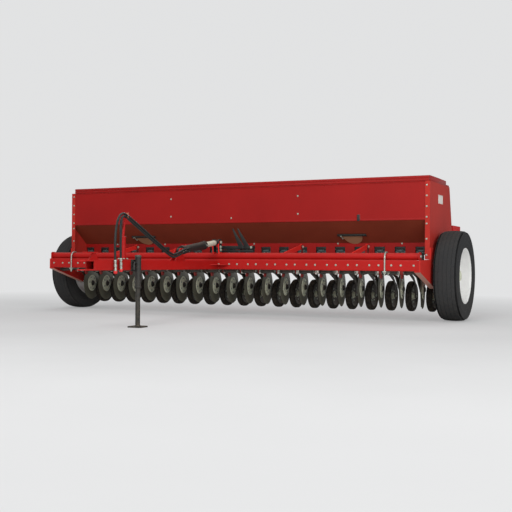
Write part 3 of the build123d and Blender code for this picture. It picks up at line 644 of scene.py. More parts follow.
def bolt_circle(size, along, radius, count, first, coat=None, side=1):
    """Bolts round the X axis, facing along it; the first one stands at an angle in degrees."""
    last = first + 360 * (count - 1) // count
    points = arc(Vector((along, 0, 0)), radius, first, last, count - 1)
    return bolts(size, points, (side, 0, 0), coat)


sample = bolt(.012)
print("bolt faces", len(sample.data.polygons))
bpy.data.objects.remove(sample)

# %% [markdown]
# Each opener cuts its slot with one flat steel disc set at a small angle. It is a thin blade with
# a sharpened rim, a stamped hub plate with bolts, and a pressed dust cap over the bearing. The
# section is spun, the bolts are added, and the finished disc is copied to all rows.

# %% Opener discs
DISC_OUTLINE = [  # along the axle, radius, finish: 0 or none blade, 1 hub plate, 2 cap
    (-.0075, 0, 2), (-.0075, .018, 2), (-.0066, .0196, 2), (-.002, .0198), (-.002, .158),
    (-.0003, .1712), (.0003, .1715), (.002, .16), (.002, .086, 1), (.0042, .0862, 1),
    (.0075, .083, 1), (.0082, .076, 1), (.0082, .052, 1), (.0108, .046, 1), (.011, .03, 2),
    (.014, .0235, 2), (.022, .0225, 2), (.0262, .018, 2), (.028, .01, 2), (.0282, 0, 2)]
NEXT_DISC = 37      # degrees that each disc is turned further than the one before it
disc = together(turned(DISC_OUTLINE, 56, disc_steel, hub_grey, black_paint),
                bolt_circle(.0065, along=.008, radius=.064, count=6, first=15, coat=zinc))
for row in rows:
    lean = Vector(joints[row]["axis"])
    number = row.rsplit("_", 1)[1]
    tilt = Matrix.Rotation(math.atan2(lean.y, lean.x), 4, "Z")
    turn = Matrix.Rotation(math.radians(NEXT_DISC * int(number)), 4, "X")
    settle(copied(disc, shift(joints[row]["pos_m"]) @ tilt @ turn), f"opener_disc_{number}",
           f"disc_{number}", stands_for=[f"disc_{number}"])
print("discs", len(rows), "with", len(disc.data.polygons), "faces each")
bpy.data.objects.remove(disc)

# %% [markdown]
# Behind each disc a narrow rubber wheel presses the soil over the seed. Its tyre has a rounded
# crown with two fine grooves and sits on a rim of two pressed steel halves, bolted together. One
# half of the section is mirrored, and the finished wheel is copied to all rows.

# %% Press wheels
PRESS = [  # along the axle, radius, finish: 0 rubber, 1 steel, 2 hub
    (-.018, 0, 2), (-.018, .018, 2), (-.015, .022, 2), (-.01, .024, 1), (-.008, .034, 1),
    (-.008, .078, 1), (-.017, .09, 1), (-.0225, .101, 1), (-.0262, .104, 0), (-.028, .112, 0),
    (-.0278, .121, 0), (-.0255, .13, 0), (-.0205, .1355, 0), (-.0125, .1376, 0), (-.0108, .1344, 0),
    (-.008, .1344, 0), (-.0066, .138, 0)]
PRESS_HUB = [(.012, .03, 2), (.029, .0232, 2), (.0316, .0232, 2), (.0316, 0, 2)]
FROM_RIM = 4        # the section's points from here on are mirrored
half = PRESS[FROM_RIM:][::-1]
kinds = [point[2] for point in half[1:]] + [2]
far_half = [(-point[0], point[1], kind) for point, kind in zip(half, kinds)]
press = together(turned(PRESS + far_half + PRESS_HUB, 40, press_rubber, arm_black, hub_grey),
                 bolt_circle(.0075, along=.0079, radius=.056, count=5, first=30))
press_axle = Vector(joints["press_wheel_turn"]["pos_m"])
PRESS_DX = .018
PRESS_TURN = 9      # radians for each metre along the rows, so no two wheels stand alike
press = many(press, [shift((x + PRESS_DX, press_axle.y, press_axle.z))
                     @ Matrix.Rotation(x * PRESS_TURN, 4, "X") for x in ROW_X])
settle(press, "rubber_press_wheels", "press_wheels", smooth=40, stands_for=["press_wheels"])
print("press wheels", len(ROW_X), "faces", len(press.data.polygons))

# %% [markdown]
# The end wheels carry the machine. Their tyres are implement tyres: a nearly flat tread with
# shallow grooves round it, short cuts across the outer ribs, a groove at the shoulder and a flat
# sidewall with two raised lines. The cuts are made by insetting every fourth rib face inwards.

# %% Tyres
TYRE_SIDE = [  # along the axle and radius of one half, from the bead outwards
    (-.087, .243), (-.0915, .2462), (-.094, .25), (-.0975, .2535), (-.1, .262), (-.1014, .274),
    (-.1022, .288), (-.1026, .303), (-.1019, .305), (-.1019, .307), (-.1027, .309), (-.103, .328),
    (-.103, .344), (-.1018, .346), (-.1018, .348), (-.1027, .35), (-.1016, .366), (-.0998, .378),
    (-.0985, .3825), (-.0955, .3835), (-.0938, .366), (-.0835, .366), (-.0818, .3905),
    (-.0805, .392), (-.056, .3952), (-.055, .3932), (-.053, .3932), (-.052, .3957), (-.02, .3976),
    (-.019, .3956), (-.017, .3956), (-.016, .3979)]
SIDES = ((1, "right"), (-1, "left"))
STEPS = 112                             # faces round a tyre
FACE_TURN = 2 * math.pi / STEPS
RIB_IN, RIB_OUT, RIB_LOW = .057, .0815, .389
_, wheel_y, wheel_z = joints["wheel_right_turn"]["pos_m"]
wheel_x = (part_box("tyre_right")[0].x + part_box("tyre_right")[1].x) / 2


def cut_here(middle, normal):
    """Every fourth face of the outer ribs; the two ribs are cut in turn."""
    number = round(math.atan2(middle.z, middle.y) / FACE_TURN - .5)
    rib = RIB_IN < abs(middle.x) < RIB_OUT and math.hypot(middle.y, middle.z) > RIB_LOW
    return rib and number % 4 == (0 if middle.x > 0 else 2)


for side, name in SIDES:
    tyre = turned(TYRE_SIDE + mirrored(TYRE_SIDE), STEPS, tyre_rubber)
    edit(tyre)
    pick(tyre, cut_here)
    bpy.ops.mesh.inset(thickness=.003, depth=-.0016, use_individual=True)
    only(tyre)
    settle(placed(tyre, shift((side * wheel_x, wheel_y, wheel_z))), f"ribbed_tyre_{name}",
           f"wheel_{name}", smooth=28, stands_for=[f"tyre_{name}"])
    print(tyre.name, "faces", len(tyre.data.polygons))

# %% [markdown]
# The white rims are deep dishes. The section gives the flange that holds the bead, the well, the
# pressed disc and the hub with its grease cap. Six nuts hold the disc to the hub, and a valve
# stands in the well.

# %% Rims
RIM_BACK = [  # along the axle from the wheel's middle, radius, finish: none white, 1 hub
    (-.06, .0285, 1), (-.06, .056, 1), (-.056, .06, 1), (-.03, .06), (-.026, .07), (-.026, .15),
    (-.033, .18), (-.033, .208), (-.03, .232), (-.038, .235)]
FLANGE = [
    (-.083, .2355), (-.089, .2385), (-.094, .241), (-.0948, .2445), (-.0935, .247), (-.0915, .2455),
    (-.089, .243), (-.083, .2415)]
RIM_FRONT = [
    (.03, .234), (-.01, .232), (-.021, .208), (-.021, .182), (-.015, .15), (-.015, .108),
    (-.011, .104), (-.011, .064), (.006, .06), (.038, .054), (.042, .049, 1), (.044, .046, 1),
    (.05, .042, 1), (.053, .034, 1), (.0545, .018, 1), (.0548, 0, 1), (.045, 0, 1),
    (.0445, .0285, 1)]
RIM = RIM_BACK + FLANGE + mirrored(FLANGE) + RIM_FRONT
VALVE = ((-.018, -.218), (.004, -.216), (.022, -.212))
for side, name in SIDES:
    rim = turned([(side * x, *rest) for x, *rest in RIM], 72, rim_white, hub_grey)
    nuts = bolt_circle(.0125, side * -.011, radius=.084, count=6, first=20, coat=zinc, side=side)
    valve = bent_rod([(side * x, 0, z) for x, z in VALVE], .0045)
    rim = together(rim, nuts, coated(valve, feed_black))
    settle(placed(rim, shift((side * wheel_x, wheel_y, wheel_z))), f"dished_rim_{name}",
           f"wheel_{name}", stands_for=[f"rim_{name}"])
    print(rim.name, "faces", len(rim.data.polygons))

# %% [markdown]
# Two hydraulic hoses leave the lift cylinder's ports, hang along the tongue, climb over the
# hose post and end in quick couplers with red dust caps. A coupler is turned steel: three
# raised bands, a sleeve and the cap. It is spun once for each hose's end.

# %% Hose couplers
HOSE_ROUTES = {  # from the coupler, over the post's arm and down to the cylinder's port
    "hose_raise": [
        (.058, -1.623, .518), (.058, -1.627, .603), (.057, -1.622, .69), (.05, -1.6, .769),
        (.034, -1.553, .834), (.014, -1.486, .871), (.004, -1.412, .874), (.042, -.82, .563),
        (.049, -.757, .57), (.051, -.697, .588), (.05, -.6378, .6087), (.05, -.5783, .6166)],
    "hose_lower": [
        (.058, -1.553, .532), (.058, -1.556, .612), (.057, -1.552, .692), (.05, -1.548, .77),
        (.038, -1.524, .822), (.02, -1.475, .851), (.004, -1.417, .852), (.042, -.826, .543),
        (.049, -.76, .549), (.051, -.697, .566), (.05, -.6349, .5869), (.05, -.5754, .5948)],
}
COUPLER_OUTLINE = [  # along the hose, radius, finish: none plated steel, 1 red cap
    (0, 0), (0, .0098), (.0015, .011), (.01, .011), (.0115, .0092), (.013, .011), (.022, .011),
    (.024, .0082), (.033, .0082), (.0345, .0112), (.036, .0122), (.042, .0122), (.0435, .0106),
    (.046, .0106), (.0475, .0122), (.054, .0122), (.0555, .009), (.064, .009), (.0655, .011),
    (.081, .011), (.082, .0128, 1), (.084, .0142, 1), (.099, .0142, 1), (.103, .0122, 1),
    (.104, .008, 1), (.104, 0, 1)]
ends = []
for route in HOSE_ROUTES.values():
    first, second = at(*route[0]), at(*route[1])
    ends.append(turned_at(first, first - second, COUPLER_OUTLINE, 20, zinc, cap_red))
couplers = settle(ends, "quick_couplers", "frame", smooth=40, stands_for=["hose_couplers"])
print("couplers", len(ends))

# %% [markdown]
# A hose is stiff rubber. A NURBS line through few points bends as smoothly as the real one, and a
# round bevel gives it its thickness.

# %% Hoses
HOSE_D = 0.018


def hose_piece(name):
    """A smooth rubber hose along its route, from the cylinder's port to its coupler."""
    route = [at(*point) for point in HOSE_ROUTES[name]][::-1]
    curve = bpy.data.curves.new(name + "_rubber", "CURVE")
    curve.dimensions, curve.bevel_depth, curve.bevel_resolution = "3D", HOSE_D / 2, 5
    curve.resolution_u = 12
    curve.use_fill_caps = True
    spline = curve.splines.new("NURBS")
    spline.points.add(len(route) - 1)
    for point, place in zip(spline.points, route):
        point.co = (*place, 1)
    spline.order_u = 3
    spline.use_endpoint_u = True
    curve.materials.append(hose_rubber)
    piece = add(name + "_rubber", curve)
    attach(piece, "frame")
    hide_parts(name)
    return piece, route[0]


for name in HOSE_ROUTES:
    piece, start = hose_piece(name)
    print(name, "from", tuple(round(x, 3) for x in start))

# %% [markdown]
# Bright bolts show along the toolbar, two at each opener, because every hanger is bolted through
# it. Their nuts sit on the hangers' feet behind. The bolts' places come from the rows, and each
# row's bolts are turned a little differently.

# %% Toolbar bolts
BAR_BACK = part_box("toolbar")[1].y
BOLT_Z = BAR_LOW + .047
row_bolts("toolbar_bolts", "frame", .0066, FRONT, BOLT_Z, [(-.055, FORWARD), (.055, FORWARD)])
row_bolts("hanger_nuts", "frame", .009, BAR_BACK + .008, BOLT_Z, [(-.047, BACK), (.05, BACK)], zinc)
print("toolbar bolts", 4 * len(ROW_X))

# %% [markdown]
# The end sheets are bolted to the hopper through a folded flange, and the front panel carries a
# few bolts where the inner partitions meet it. The bolts stand on the sheet, so their place
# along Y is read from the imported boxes.

# %% Hopper bolts
flange_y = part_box("hopper_ends")[0].y
panel_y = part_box("hopper_front_panel")[0].y
FLANGE_Z = (1.179, 1.088, .995, .904, .847, .716, .578)
PANEL_XZ = ((-.687, 1.125), (-.686, .952), (-.01, .926), (.68, 1.118), (.681, .953))
spots = [aim((side * 1.882, flange_y, z), FORWARD, z) for z in FLANGE_Z for side in (-1, 1)]
spots += [aim((x, panel_y, z), FORWARD, z) for x, z in PANEL_XZ]
settle(many(bolt(.0062), spots), "hopper_front_bolts", "frame")
throat = [aim(at(x, .576, .684), FORWARD, x) for x in (-1.495, -.903, .12, .987, 1.597)]
settle(many(bolt(.0062), throat), "throat_bolts", "frame")
print("hopper bolts", len(spots) + len(throat))

# %% [markdown]
# At each end of the toolbar the rockshaft turns in a bearing plate with cut corners. The plate is
# an outline across X, and one large bolt closes it on its outer face.

# %% Rockshaft end bearings
BEARING = [(.004, .53), (.004, .586), (.016, .598), (.07, .598), (.086, .582), (.086, .53)]
plates = [coated(plate(BEARING, x - .003, x + .003), frame_red) for x in (-1.905, 1.905)]
closers = pin_heads(.01, at(0, .05, .562), 1.908, zinc)
settle([*plates, closers], "shaft_end_bearings", "frame")
print("end bearings", len(plates))

# %% [markdown]
# Each end sheet stands on its wheel bracket with a narrow foot. It is a thin block, because only
# its edge shows.

# %% End sheet feet
feet = [block(at(x - .0025, .337, .52), at(x + .0025, .56, .546), .0008)
        for x in (-1.9075, 1.9075)]
# The feet take the lighter end-sheet red, which is painted light.
settle(feet, "end_sheet_feet", "frame", lit_end_red)
print("feet", len(feet))

# %% [markdown]
# A weld bead runs along the toolbar's upper front edge. From a distance it is a thin round line,
# so a turned rod is enough.

# %% Weld bead
BEAD = [(-1.895, 0), (-1.895, .003)]
bead = turned(BEAD + mirrored(BEAD), 10, frame_red)
settle(placed(bead, shift(at(0, .009, BAR_TOP + .0015))), "toolbar_weld_bead", "frame")
print("bead faces", len(bead.data.polygons))

# %% [markdown]
# The rockshaft is held on the toolbar by two long U-bolts. A U-bolt is a round bar bent over the
# shaft, through a strap under the toolbar, with a nut on each leg. The bar follows an arc, so it
# is made as a bent rod; the strap and the seat are blocks with eased edges.

# %% Rockshaft clamps
BAR_MID = FRONT + .045
BEND = .0525                            # radius of the U, which is half the legs' distance
STRAP = BAR_LOW - .012
bend_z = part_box("rockshaft_clamps")[1].z - .0065 - BEND
for number, x in enumerate((-1.64, 1.619)):
    over_shaft = arc(Vector((x, BAR_MID, bend_z)), BEND, 180, 0, 14)
    line = [Vector((x, BAR_MID - BEND, .4)), *over_shaft, Vector((x, BAR_MID + BEND, .4))]
    u_bolt = coated(bent_rod(line, .0065, 3), zinc)
    strap = block((x - .016, BAR_MID - .064, STRAP), (x + .016, BAR_MID + .064, BAR_LOW), .002)
    nuts = bolts(.0115, [(x, BAR_MID + dy, STRAP) for dy in (-BEND, BEND)], (0, 0, -1))
    seat = block((x - .03, FRONT + .018, BAR_TOP), (x + .03, FRONT + .082, BAR_TOP + .0035), .001)
    clamp = together(u_bolt, coated(strap, zinc), nuts, coated(seat, black_paint))
    settle(clamp, f"shaft_u_bolt_{number + 1}", "frame",
           stands_for=["rockshaft_clamps"] if number == 0 else [])
    print(clamp.name, "at", x)

# %% [markdown]
# Each opener has a clamp plate with two nuts that holds its red casting to the lift bar, a pivot
# bolt through the hanger's ears, and a bolt at the press wheel. All but the pivot bolts ride
# with the openers, so they move with them when the rockshaft turns.

# %% Opener hardware
holder = coated(block((-.022, -.0095, -.018), (.01, 0, .017)), pale_plate)
holder = together(holder, bolts(.0065, [(-.013, -.0095, .009), (.005, -.0095, -.009)], FORWARD))
settle(many(holder, [shift(at(x, .4, .416)) for x in ROW_X]), "casting_clamps", "openers")
TAIL = [(.404, .43), (.404, .408), (.414, .374), (.422, .368), (.434, .368), (.442, .376),
        (.448, .43)]
tail = together(plate(TAIL, .014, .032, .0015), bolts(.007, [at(.032, .426, .39)], RIGHT))
tails = many(coated(tail, casting_red), [shift((x, 0, 0)) for x in ROW_X])
settle(tails, "casting_tails", "openers")
_, pivot_y, pivot_z = joints["opener_lift"]["pos_m"]
row_bolts("pivot_bolts", "frame", .0105, pivot_y, pivot_z, [(.07, RIGHT), (-.06, LEFT)], zinc)
row_bolts("press_arm_bolts", "openers", .0085, press_axle.y, press_axle.z, [(.058, RIGHT)])
print("opener bolts", 6 * len(ROW_X))

# %% [markdown]
# A seed tube is soft ribbed rubber, so it stretches when its opener goes down. One ribbed tube is
# spun from a zigzag outline, stood upright and copied to every row.

# %% Seed tubes
TUBE_TOP, TUBE_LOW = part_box("seed_tubes")[1].z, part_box("seed_tubes")[0].z
tube_y = (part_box("seed_tubes")[0].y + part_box("seed_tubes")[1].y) / 2
CUP_DX = -.04                           # from a row's line to its feed cup
RIBS, RIB_R, NECK_R, END_R = 13, .0156, .0125, .014
length = TUBE_TOP - TUBE_LOW
outline = [(0, 0), (0, END_R)]
for number in range(RIBS):
    start = .006 + number * (length - .012) / RIBS
    outline += [(start, NECK_R), (start + .0022, RIB_R), (start + .0052, RIB_R)]
outline += [(length - .005, NECK_R), (length, END_R), (length, 0)]
down = Matrix.Rotation(math.radians(90), 4, "Y")
tubes = many(turned(outline, 14, tube_rubber),
             [shift((x + CUP_DX, tube_y, TUBE_TOP)) @ down for x in ROW_X])
only(tubes)
bpy.ops.object.shade_smooth_by_angle(angle=math.radians(50))
tubes.name = tubes.data.name = "ribbed_seed_tubes"
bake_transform(tubes)
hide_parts("seed_tubes")
print("seed tubes", len(ROW_X), "ribs each", RIBS)

# %% [markdown]
# Seed is metered by a fluted wheel in a small cast housing at each row. What shows from the front
# is a black plate over the wheel that paints the band of shade above each cup, a rounded casting, a
# gate lever and the square shaft that drives every wheel in the row. The black plate is a plate
# outline, the casting is turned and the lever is a bent rod.
# A long black sheet behind the cups paints the shade behind them.

# %% Feed cup fronts
# Painted shade: a black plate over each cup stands for the band of shade above it.
SHADE_STRIP = [(.577, .639), (.577, .653), (.58, .656), (.59, .656), (.59, .639)]
shade_strip = coated(plate(SHADE_STRIP, -.044, .044), feed_black)
DRUM = [(-.03, 0), (-.03, .015), (-.028, .0165), (-.01, .0165), (-.009, .0185)]
drum = turned(DRUM + mirrored(DRUM), 16, feed_grey)
LEVER = ((.022, .59, .612), (.022, .58, .614), (.022, .576, .628), (.026, .574, .636))
lever = coated(bent_rod([at(*point) for point in LEVER], .0028, 1), feed_grey)
screws = bolts(.004, [at(dx, .594, .602) for dx in (-.026, .012)], FORWARD, zinc)
cup = together(shade_strip, placed(drum, shift(at(0, .596, .619))), lever, screws)
cups = many(cup, [shift((x + CUP_DX, 0, 0)) for x in ROW_X])
settle(cups, "feed_cup_fronts", "frame", smooth=40)
SHAFT = [(-1.865, 0), (-1.865, .007), (-1.863, .008), (1.883, .008), (1.885, .007), (1.885, 0)]
shaft = turned(SHAFT, 6, black_paint)
settle(placed(shaft, shift(at(0, .584, .63))), "feed_drive_shaft", "frame")
# Painted shade: a black sheet behind the cups, where there is only shadow.
shade_sheet = block(at(-1.9, .682, .59), at(1.9, .684, .656), .0006)
settle(shade_sheet, "cup_shade_sheet", "frame", feed_black)
print("feed cups", len(ROW_X))

# %% [markdown]
# A seed-rate quadrant is a dark slotted bar on the front slope with a copper-coloured scale plate
# below it and a bright lever in the slot. Two of them set the left and the right half of the
# machine. The half-round scale is a plate outline with an arc, laid on the slope.

# %% Rate quadrants
slope_out = Vector((0, -.6255, -.7802))
slope_up = Vector((0, -.7802, .6255))
flat = Matrix((Vector(RIGHT), -slope_out, slope_up)).transposed().to_4x4()
SLOPE_TOP, SLOPE_TALL = .88, .19
BAR_Z, SCALE_DEEP = .768, .112


def on_slope(x, z, out=0.0):
    """A point on the front slope at a height, lifted off the sheet."""
    share = (SLOPE_TOP - z) / SLOPE_TALL
    return at(x, .343 + share * .237, z) + slope_out * (out + .0035)


def quadrant(left, right, lever_x, name):
    """Bar, scale plate, bolts and lever between two places along the machine."""
    middle, half = (left + right) / 2, (right - left) / 2
    bar = coated(block((-half, -.007, -.011), (half, .007, .011), .003), black_paint)
    slit = coated(block((-half * .72, -.0085, -.003), (half * .72, .0085, .003), .001), feed_black)
    tips = many(block((-.014, -.005, -.016), (.014, .005, .01), .004),
                [shift((-half + .006, 0, 0)), shift((half - .006, 0, 0))])
    bar = together(bar, slit, coated(tips, black_paint))
    placed(bar, shift(on_slope(middle, BAR_Z, .009)) @ flat)
    angles = [math.pi + math.pi * i / 12 for i in range(13)]
    rim = [(half * .7 * math.cos(a), 0, SCALE_DEEP * math.sin(a)) for a in angles]
    scale = coated(filled(rim, (0, -.003, 0), .0008, 1), quadrant_tan)
    placed(scale, shift(on_slope(middle, BAR_Z - .01, .004)) @ flat)
    grip = bent_rod([on_slope(lever_x, BAR_Z + dz, out) for dz, out in
                     ((-.03, .006), (-.026, .02), (.006, .026), (.012, .04))], .0045)
    ends = [on_slope(middle + dx, BAR_Z, .016) for dx in (-half * .86, half * .86)]
    settle([bar, scale, coated(grip, bright_bolt), bolts(.006, ends, slope_out, black_paint)],
           name, "frame")
    print(name, "width", round(2 * half, 3))


quadrant(1.024, 1.29, 1.062, "rate_quadrant_right")
quadrant(-1.238, -.963, -1.198, "rate_quadrant_left")

# %% [markdown]
# The hose post is a thick red tube with a thinner rod in it. Its top arm holds the hoses in a
# small tan clamp, and a short dark rubber loop hangs from the arm. A collar closes the lower tube.

# %% Hose post fittings
POST_Y = -1.443
collar = turned_at(at(0, POST_Y, .528), UP, [
    (0, 0), (0, .019), (.001, .02), (.153, .02), (.1545, .0215), (.166, .0215), (.169, .019),
    (.172, .011), (.172, 0)], 24, frame_red)
hose_clip = coated(block(at(-.012, -1.404, .838), at(.016, -1.392, .88), .004, 3), clamp_orange)
clip_bolt = bolts(.004, [at(.016, -1.398, .86)], RIGHT, zinc)
stub = bent_rod([at(0, -1.462, .828), at(0, -1.464, .81), at(0, -1.464, .786)], .0075, 3)
CORNER = .0225
foot_bolts = bolts(.008, [at(dx, POST_Y + dy, .524) for dx in (-CORNER, CORNER)
                          for dy in (-CORNER, CORNER)], UP)
fittings = settle([collar, hose_clip, clip_bolt, coated(stub, feed_black), foot_bolts],
                  "hose_post_fittings", "frame")
print("post fittings, faces", len(fittings.data.polygons))

# %% [markdown]
# The lift cylinder pushes the rockshaft's crank. Its rod carries a stack of stop collars, split
# rings that limit how low the openers go, and ends in an eye. Both are turned; the eye is spun
# round its own pin.

# %% Cylinder rod and pins
BASE = at(0, -.62, .6)
EYE_PIN = at(0, .035, .68695)
push = (EYE_PIN - BASE).normalized()
reach = (EYE_PIN - BASE).length
COLLARS, COLLARS_FROM, ROD_R, RING_R = 5, .4375, .016, .0245
pitch = (reach - .0435 - COLLARS_FROM) / COLLARS
outline = [(.13, 0), (.13, ROD_R), (COLLARS_FROM, ROD_R, 1)]
for number in range(COLLARS):
    low = COLLARS_FROM + number * pitch
    outline += [(low, .0225, 1), (low + .0015, RING_R, 1), (low + pitch - .004, RING_R, 1),
                (low + pitch - .0025, .0225, 1), (low + pitch - .0015, .019, 1)]
outline += [(reach - .043, ROD_R), (reach - .02, ROD_R), (reach - .02, 0)]
rod = turned_at(BASE, push, outline, 28, rod_chrome, collar_tan)
EYE_RING = [(-.018, .0124), (-.018, .0222), (-.016, .024)]
eye = turned(EYE_RING + mirrored(EYE_RING), 24, black_paint)
settle([rod, placed(eye, shift(EYE_PIN))], "rod_with_collars", "rod", stands_for=["cylinder_rod"])
gland = turned_at(BASE + push * .43, push, [
    (-.001, .0165), (-.001, .033), (.002, .035), (.005, .035), (.005, .0165)], 24, zinc)
plugs = bolts(.007, [BASE + push * d + Vector((.0385, 0, 0)) for d in (.046, .412)], RIGHT, zinc)
settle([gland, plugs], "cylinder_gland", "barrel")
settle(pin_heads(.012, BASE, .034), "base_pin_heads", "frame")
crank_bolts = bolts(.011, [at(.036, .044, .645), at(.036, .047, .618)], RIGHT)
settle([pin_heads(.011, EYE_PIN, .044), crank_bolts], "crank_pin_heads", "rockshaft")
arm_pins = [at(x + .016, .45, .65195) for x in (-1.165, -.58, .67, 1.31)]
settle(bolts(.01, arm_pins, RIGHT), "arm_pin_heads", "rockshaft")
print("collars", COLLARS, "pitch", round(pitch, 4))

# %% [markdown]
# The crank's two cheeks are black, unlike the red arms beside it, and behind them a black cross
# bar carries two tall narrow wedges that lean to one side. They stop the shaft at its height. A
# cheek is a plate outline across X; a wedge is an outline across Y, so it is extruded rearwards.

# %% Crank cheeks and lift stop
CHEEK = [(.0765, .597), (.0605, .7125), (.056, .718), (.014, .7134), (.009, .706), (.0215, .597)]
cheeks = [plate(CHEEK, low, low + .0134, .001) for low in (.0233, -.0367)]
settle(cheeks, "crank_cheeks", "rockshaft", black_paint)
WEDGE_Y = .106


def wedge(left, tip):
    """Tall leaning wedge: its outline is filled and extruded rearwards."""
    corners = ((left, .65), (left + .055, .65), (tip + .015, .808), (tip + .008, .818), (tip, .814))
    return filled([at(x, WEDGE_Y, z) for x, z in corners], (0, .01, 0))


RISER = [(.09, .45), (.09, .524), (.124, .604), (.17, .604), (.17, .59), (.116, .5)]
parts = [plate(RISER, x - .008, x + .008) for x in (0, .1905)]
parts += [block(at(-.03, .12, .622), at(.33, .17, .656), .003),
          block(at(-.03, .124, .596), at(.33, .166, .619), .003)]
parts += [block(at(x - .006, .13, .618), at(x + .006, .16, .63), .001)
          for x in (-.02, .1, .2, .315)]
parts += [block(at(x, WEDGE_Y, .63), at(x + .055, .122, .656), .002) for x in (.188, .246)]
parts += [wedge(.188, .122), wedge(.246, .174)]
stop_bolts = bolts(.008, [at(x, .12, .641) for x in (-.012, .312)], FORWARD)
settle([*(coated(part, black_paint) for part in parts), stop_bolts], "lift_stop_wedges", "frame",
       stands_for=["lift_stop"])
print("lift stop parts", len(parts))

# %% [markdown]
# The parking jack is a square-headed screw in a round tube. A plate with four bolts holds it to
# the tongue, a crank with a dark grip turns the screw, and the leg slides out below on a pressed
# foot. The tube, leg and grip are turned; the foot is a block whose upright edges are rounded.

# %% Parking jack
JACK = Vector((.072, FRONT - 1.345, 0))
tube = turned_at(JACK + Vector((0, 0, .3)), UP, [
    (0, .0192), (0, .025), (.0015, .026), (.014, .026), (.016, .0241), (.15, .0241), (.1515, .0252),
    (.16, .0252), (.1615, .0241), (.24, .0241), (.2415, .0258, 1), (.251, .0258, 1),
    (.256, .0225, 1), (.257, .01, 1), (.257, 0), (.249, 0), (.249, .0192)],
    32, black_paint, arm_black)
bracket = block(at(.038, -1.395, .434), at(.046, -1.295, .522), .002)
neck = block(at(.046, -1.361, .446), at(.051, -1.329, .51), .001)
corners = [at(.046, -1.345 + dy, .478 + dz) for dy in (-.036, .036) for dz in (-.03, .03)]
plate_bolts = bolts(.007, corners, RIGHT, black_paint)
CRANK = ((-1.3655, .498), (-1.388, .498), (-1.396, .494), (-1.399, .486), (-1.399, .442))
crank = bent_rod([at(.072, y, z) for y, z in CRANK], .0055, 2)
knob = turned_at(at(.072, -1.399, .4405), UP, [
    (0, 0), (0, .007), (.002, .0086), (.018, .0092), (.038, .0086), (.04, .007), (.04, 0)],
    20, feed_black)
settle([tube, coated(bracket, black_paint), coated(neck, black_paint), plate_bolts,
        coated(crank, black_paint), knob], "screw_jack", "frame", stands_for=["jack_housing"])
leg = turned_at(JACK + Vector((0, 0, .01)), UP, [(0, 0), (0, .0187), (.38, .0187), (.38, 0)],
                28, black_paint)
weld = turned_at(JACK + Vector((0, 0, .0095)), UP, [
    (0, .018), (0, .027), (.003, .025), (.008, .02), (.009, .018)], 28, black_paint)
foot = block((JACK.x - .06, JACK.y - .06, 0), (JACK.x + .06, JACK.y + .06, .01), 0)
edit(foot)
shape = bmesh.from_edit_mesh(foot.data)
bpy.ops.mesh.select_all(action="DESELECT")
bpy.ops.mesh.select_mode(type="EDGE")
for line in shape.edges:
    low, high = (corner.co.z for corner in line.verts)
    line.select_set(abs(low - high) > .005)
bmesh.update_edit_mesh(foot.data)
bpy.ops.mesh.bevel(offset=.016, segments=4, affect="EDGES")
pick(foot, lambda middle, normal: normal.z > .9)
bpy.ops.mesh.inset(thickness=.008, depth=-.003)
bpy.ops.mesh.inset(thickness=.004)
only(foot)
settle([leg, weld, coated(foot, black_paint)], "jack_leg_and_foot", "jack_leg",
       stands_for=["jack_leg"])
print("jack stands at", round(JACK.y, 3))

# %% [markdown]
# The lid is a long folded tray. Its front skirt is stepped, so a shadow line runs the whole
# length above the rolled edge of the panel. The folded section is one closed outline extruded
# along the machine; two end plates close it, pressed beads stiffen its top, and knuckles and
# leaves join it to the hinges.

# %% Hopper lid
LID_LEFT, LID_RIGHT = -1.872, 1.903
LID_SECTION = [  # Y from the toolbar's front, Z above one metre
    (.3385, .217), (.3385, .233), (.343, .235), (.343, .24), (.3392, .242), (.3392, .256),
    (.3405, .26), (.344, .2625), (.352, .2635), (.62, .2652), (.92, .2635), (.932, .2615),
    (.9355, .2575), (.9355, .217), (.9325, .217), (.9325, .257), (.93, .2595), (.919, .2608),
    (.62, .2622), (.354, .2606), (.346, .26), (.3425, .257), (.3422, .243), (.346, .241),
    (.346, .234), (.3415, .232), (.3415, .217)]
section = [(y, z + 1.0) for y, z in LID_SECTION]
OUTER = 14          # the first points of the section are its outer face
tray = plate(section, LID_LEFT, LID_RIGHT, .0004)
caps = [plate(section[:OUTER], x - .0015, x + .0015, .0006) for x in (LID_LEFT, LID_RIGHT)]
ridges = [block(at(LID_LEFT + .06, y, 1.263), at(LID_RIGHT - .06, y + .026, 1.2668), .0018)
          for y in (.47, .76)]
left, right = (corner.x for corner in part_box("lid_hinges"))
HINGE_X = [left + .02 + (right - left - .04) * i / 3 for i in range(4)]
knuckles = []
WIDE = .0395        # of a knuckle
KNUCKLE = [(0, 0), (0, .0072), (.0008, .008), (WIDE - .0008, .008), (WIDE, .0072), (WIDE, 0)]
for x in [middle + dx for middle in HINGE_X for dx in (-.06, .0205)]:
    knuckle = placed(turned(KNUCKLE, 20, hopper_red), shift(at(x, .948, 1.239)))
    knuckles += [knuckle, block(at(x, .934, 1.2368), at(x + WIDE, .948, 1.2412), .001)]
settle([tray, *caps, *ridges, *knuckles], "folded_lid", "lid", hopper_red, smooth=30,
       stands_for=["hopper_lid"])
print("lid from", LID_LEFT, "to", LID_RIGHT)

# %% [markdown]
# The front panel's upper and lower edges are rolled over a wire, which gives two fine bright
# lines, and two narrow sight slots near its ends show how full the hopper is. The right end
# sheet carries a small blank plate on four rivets.

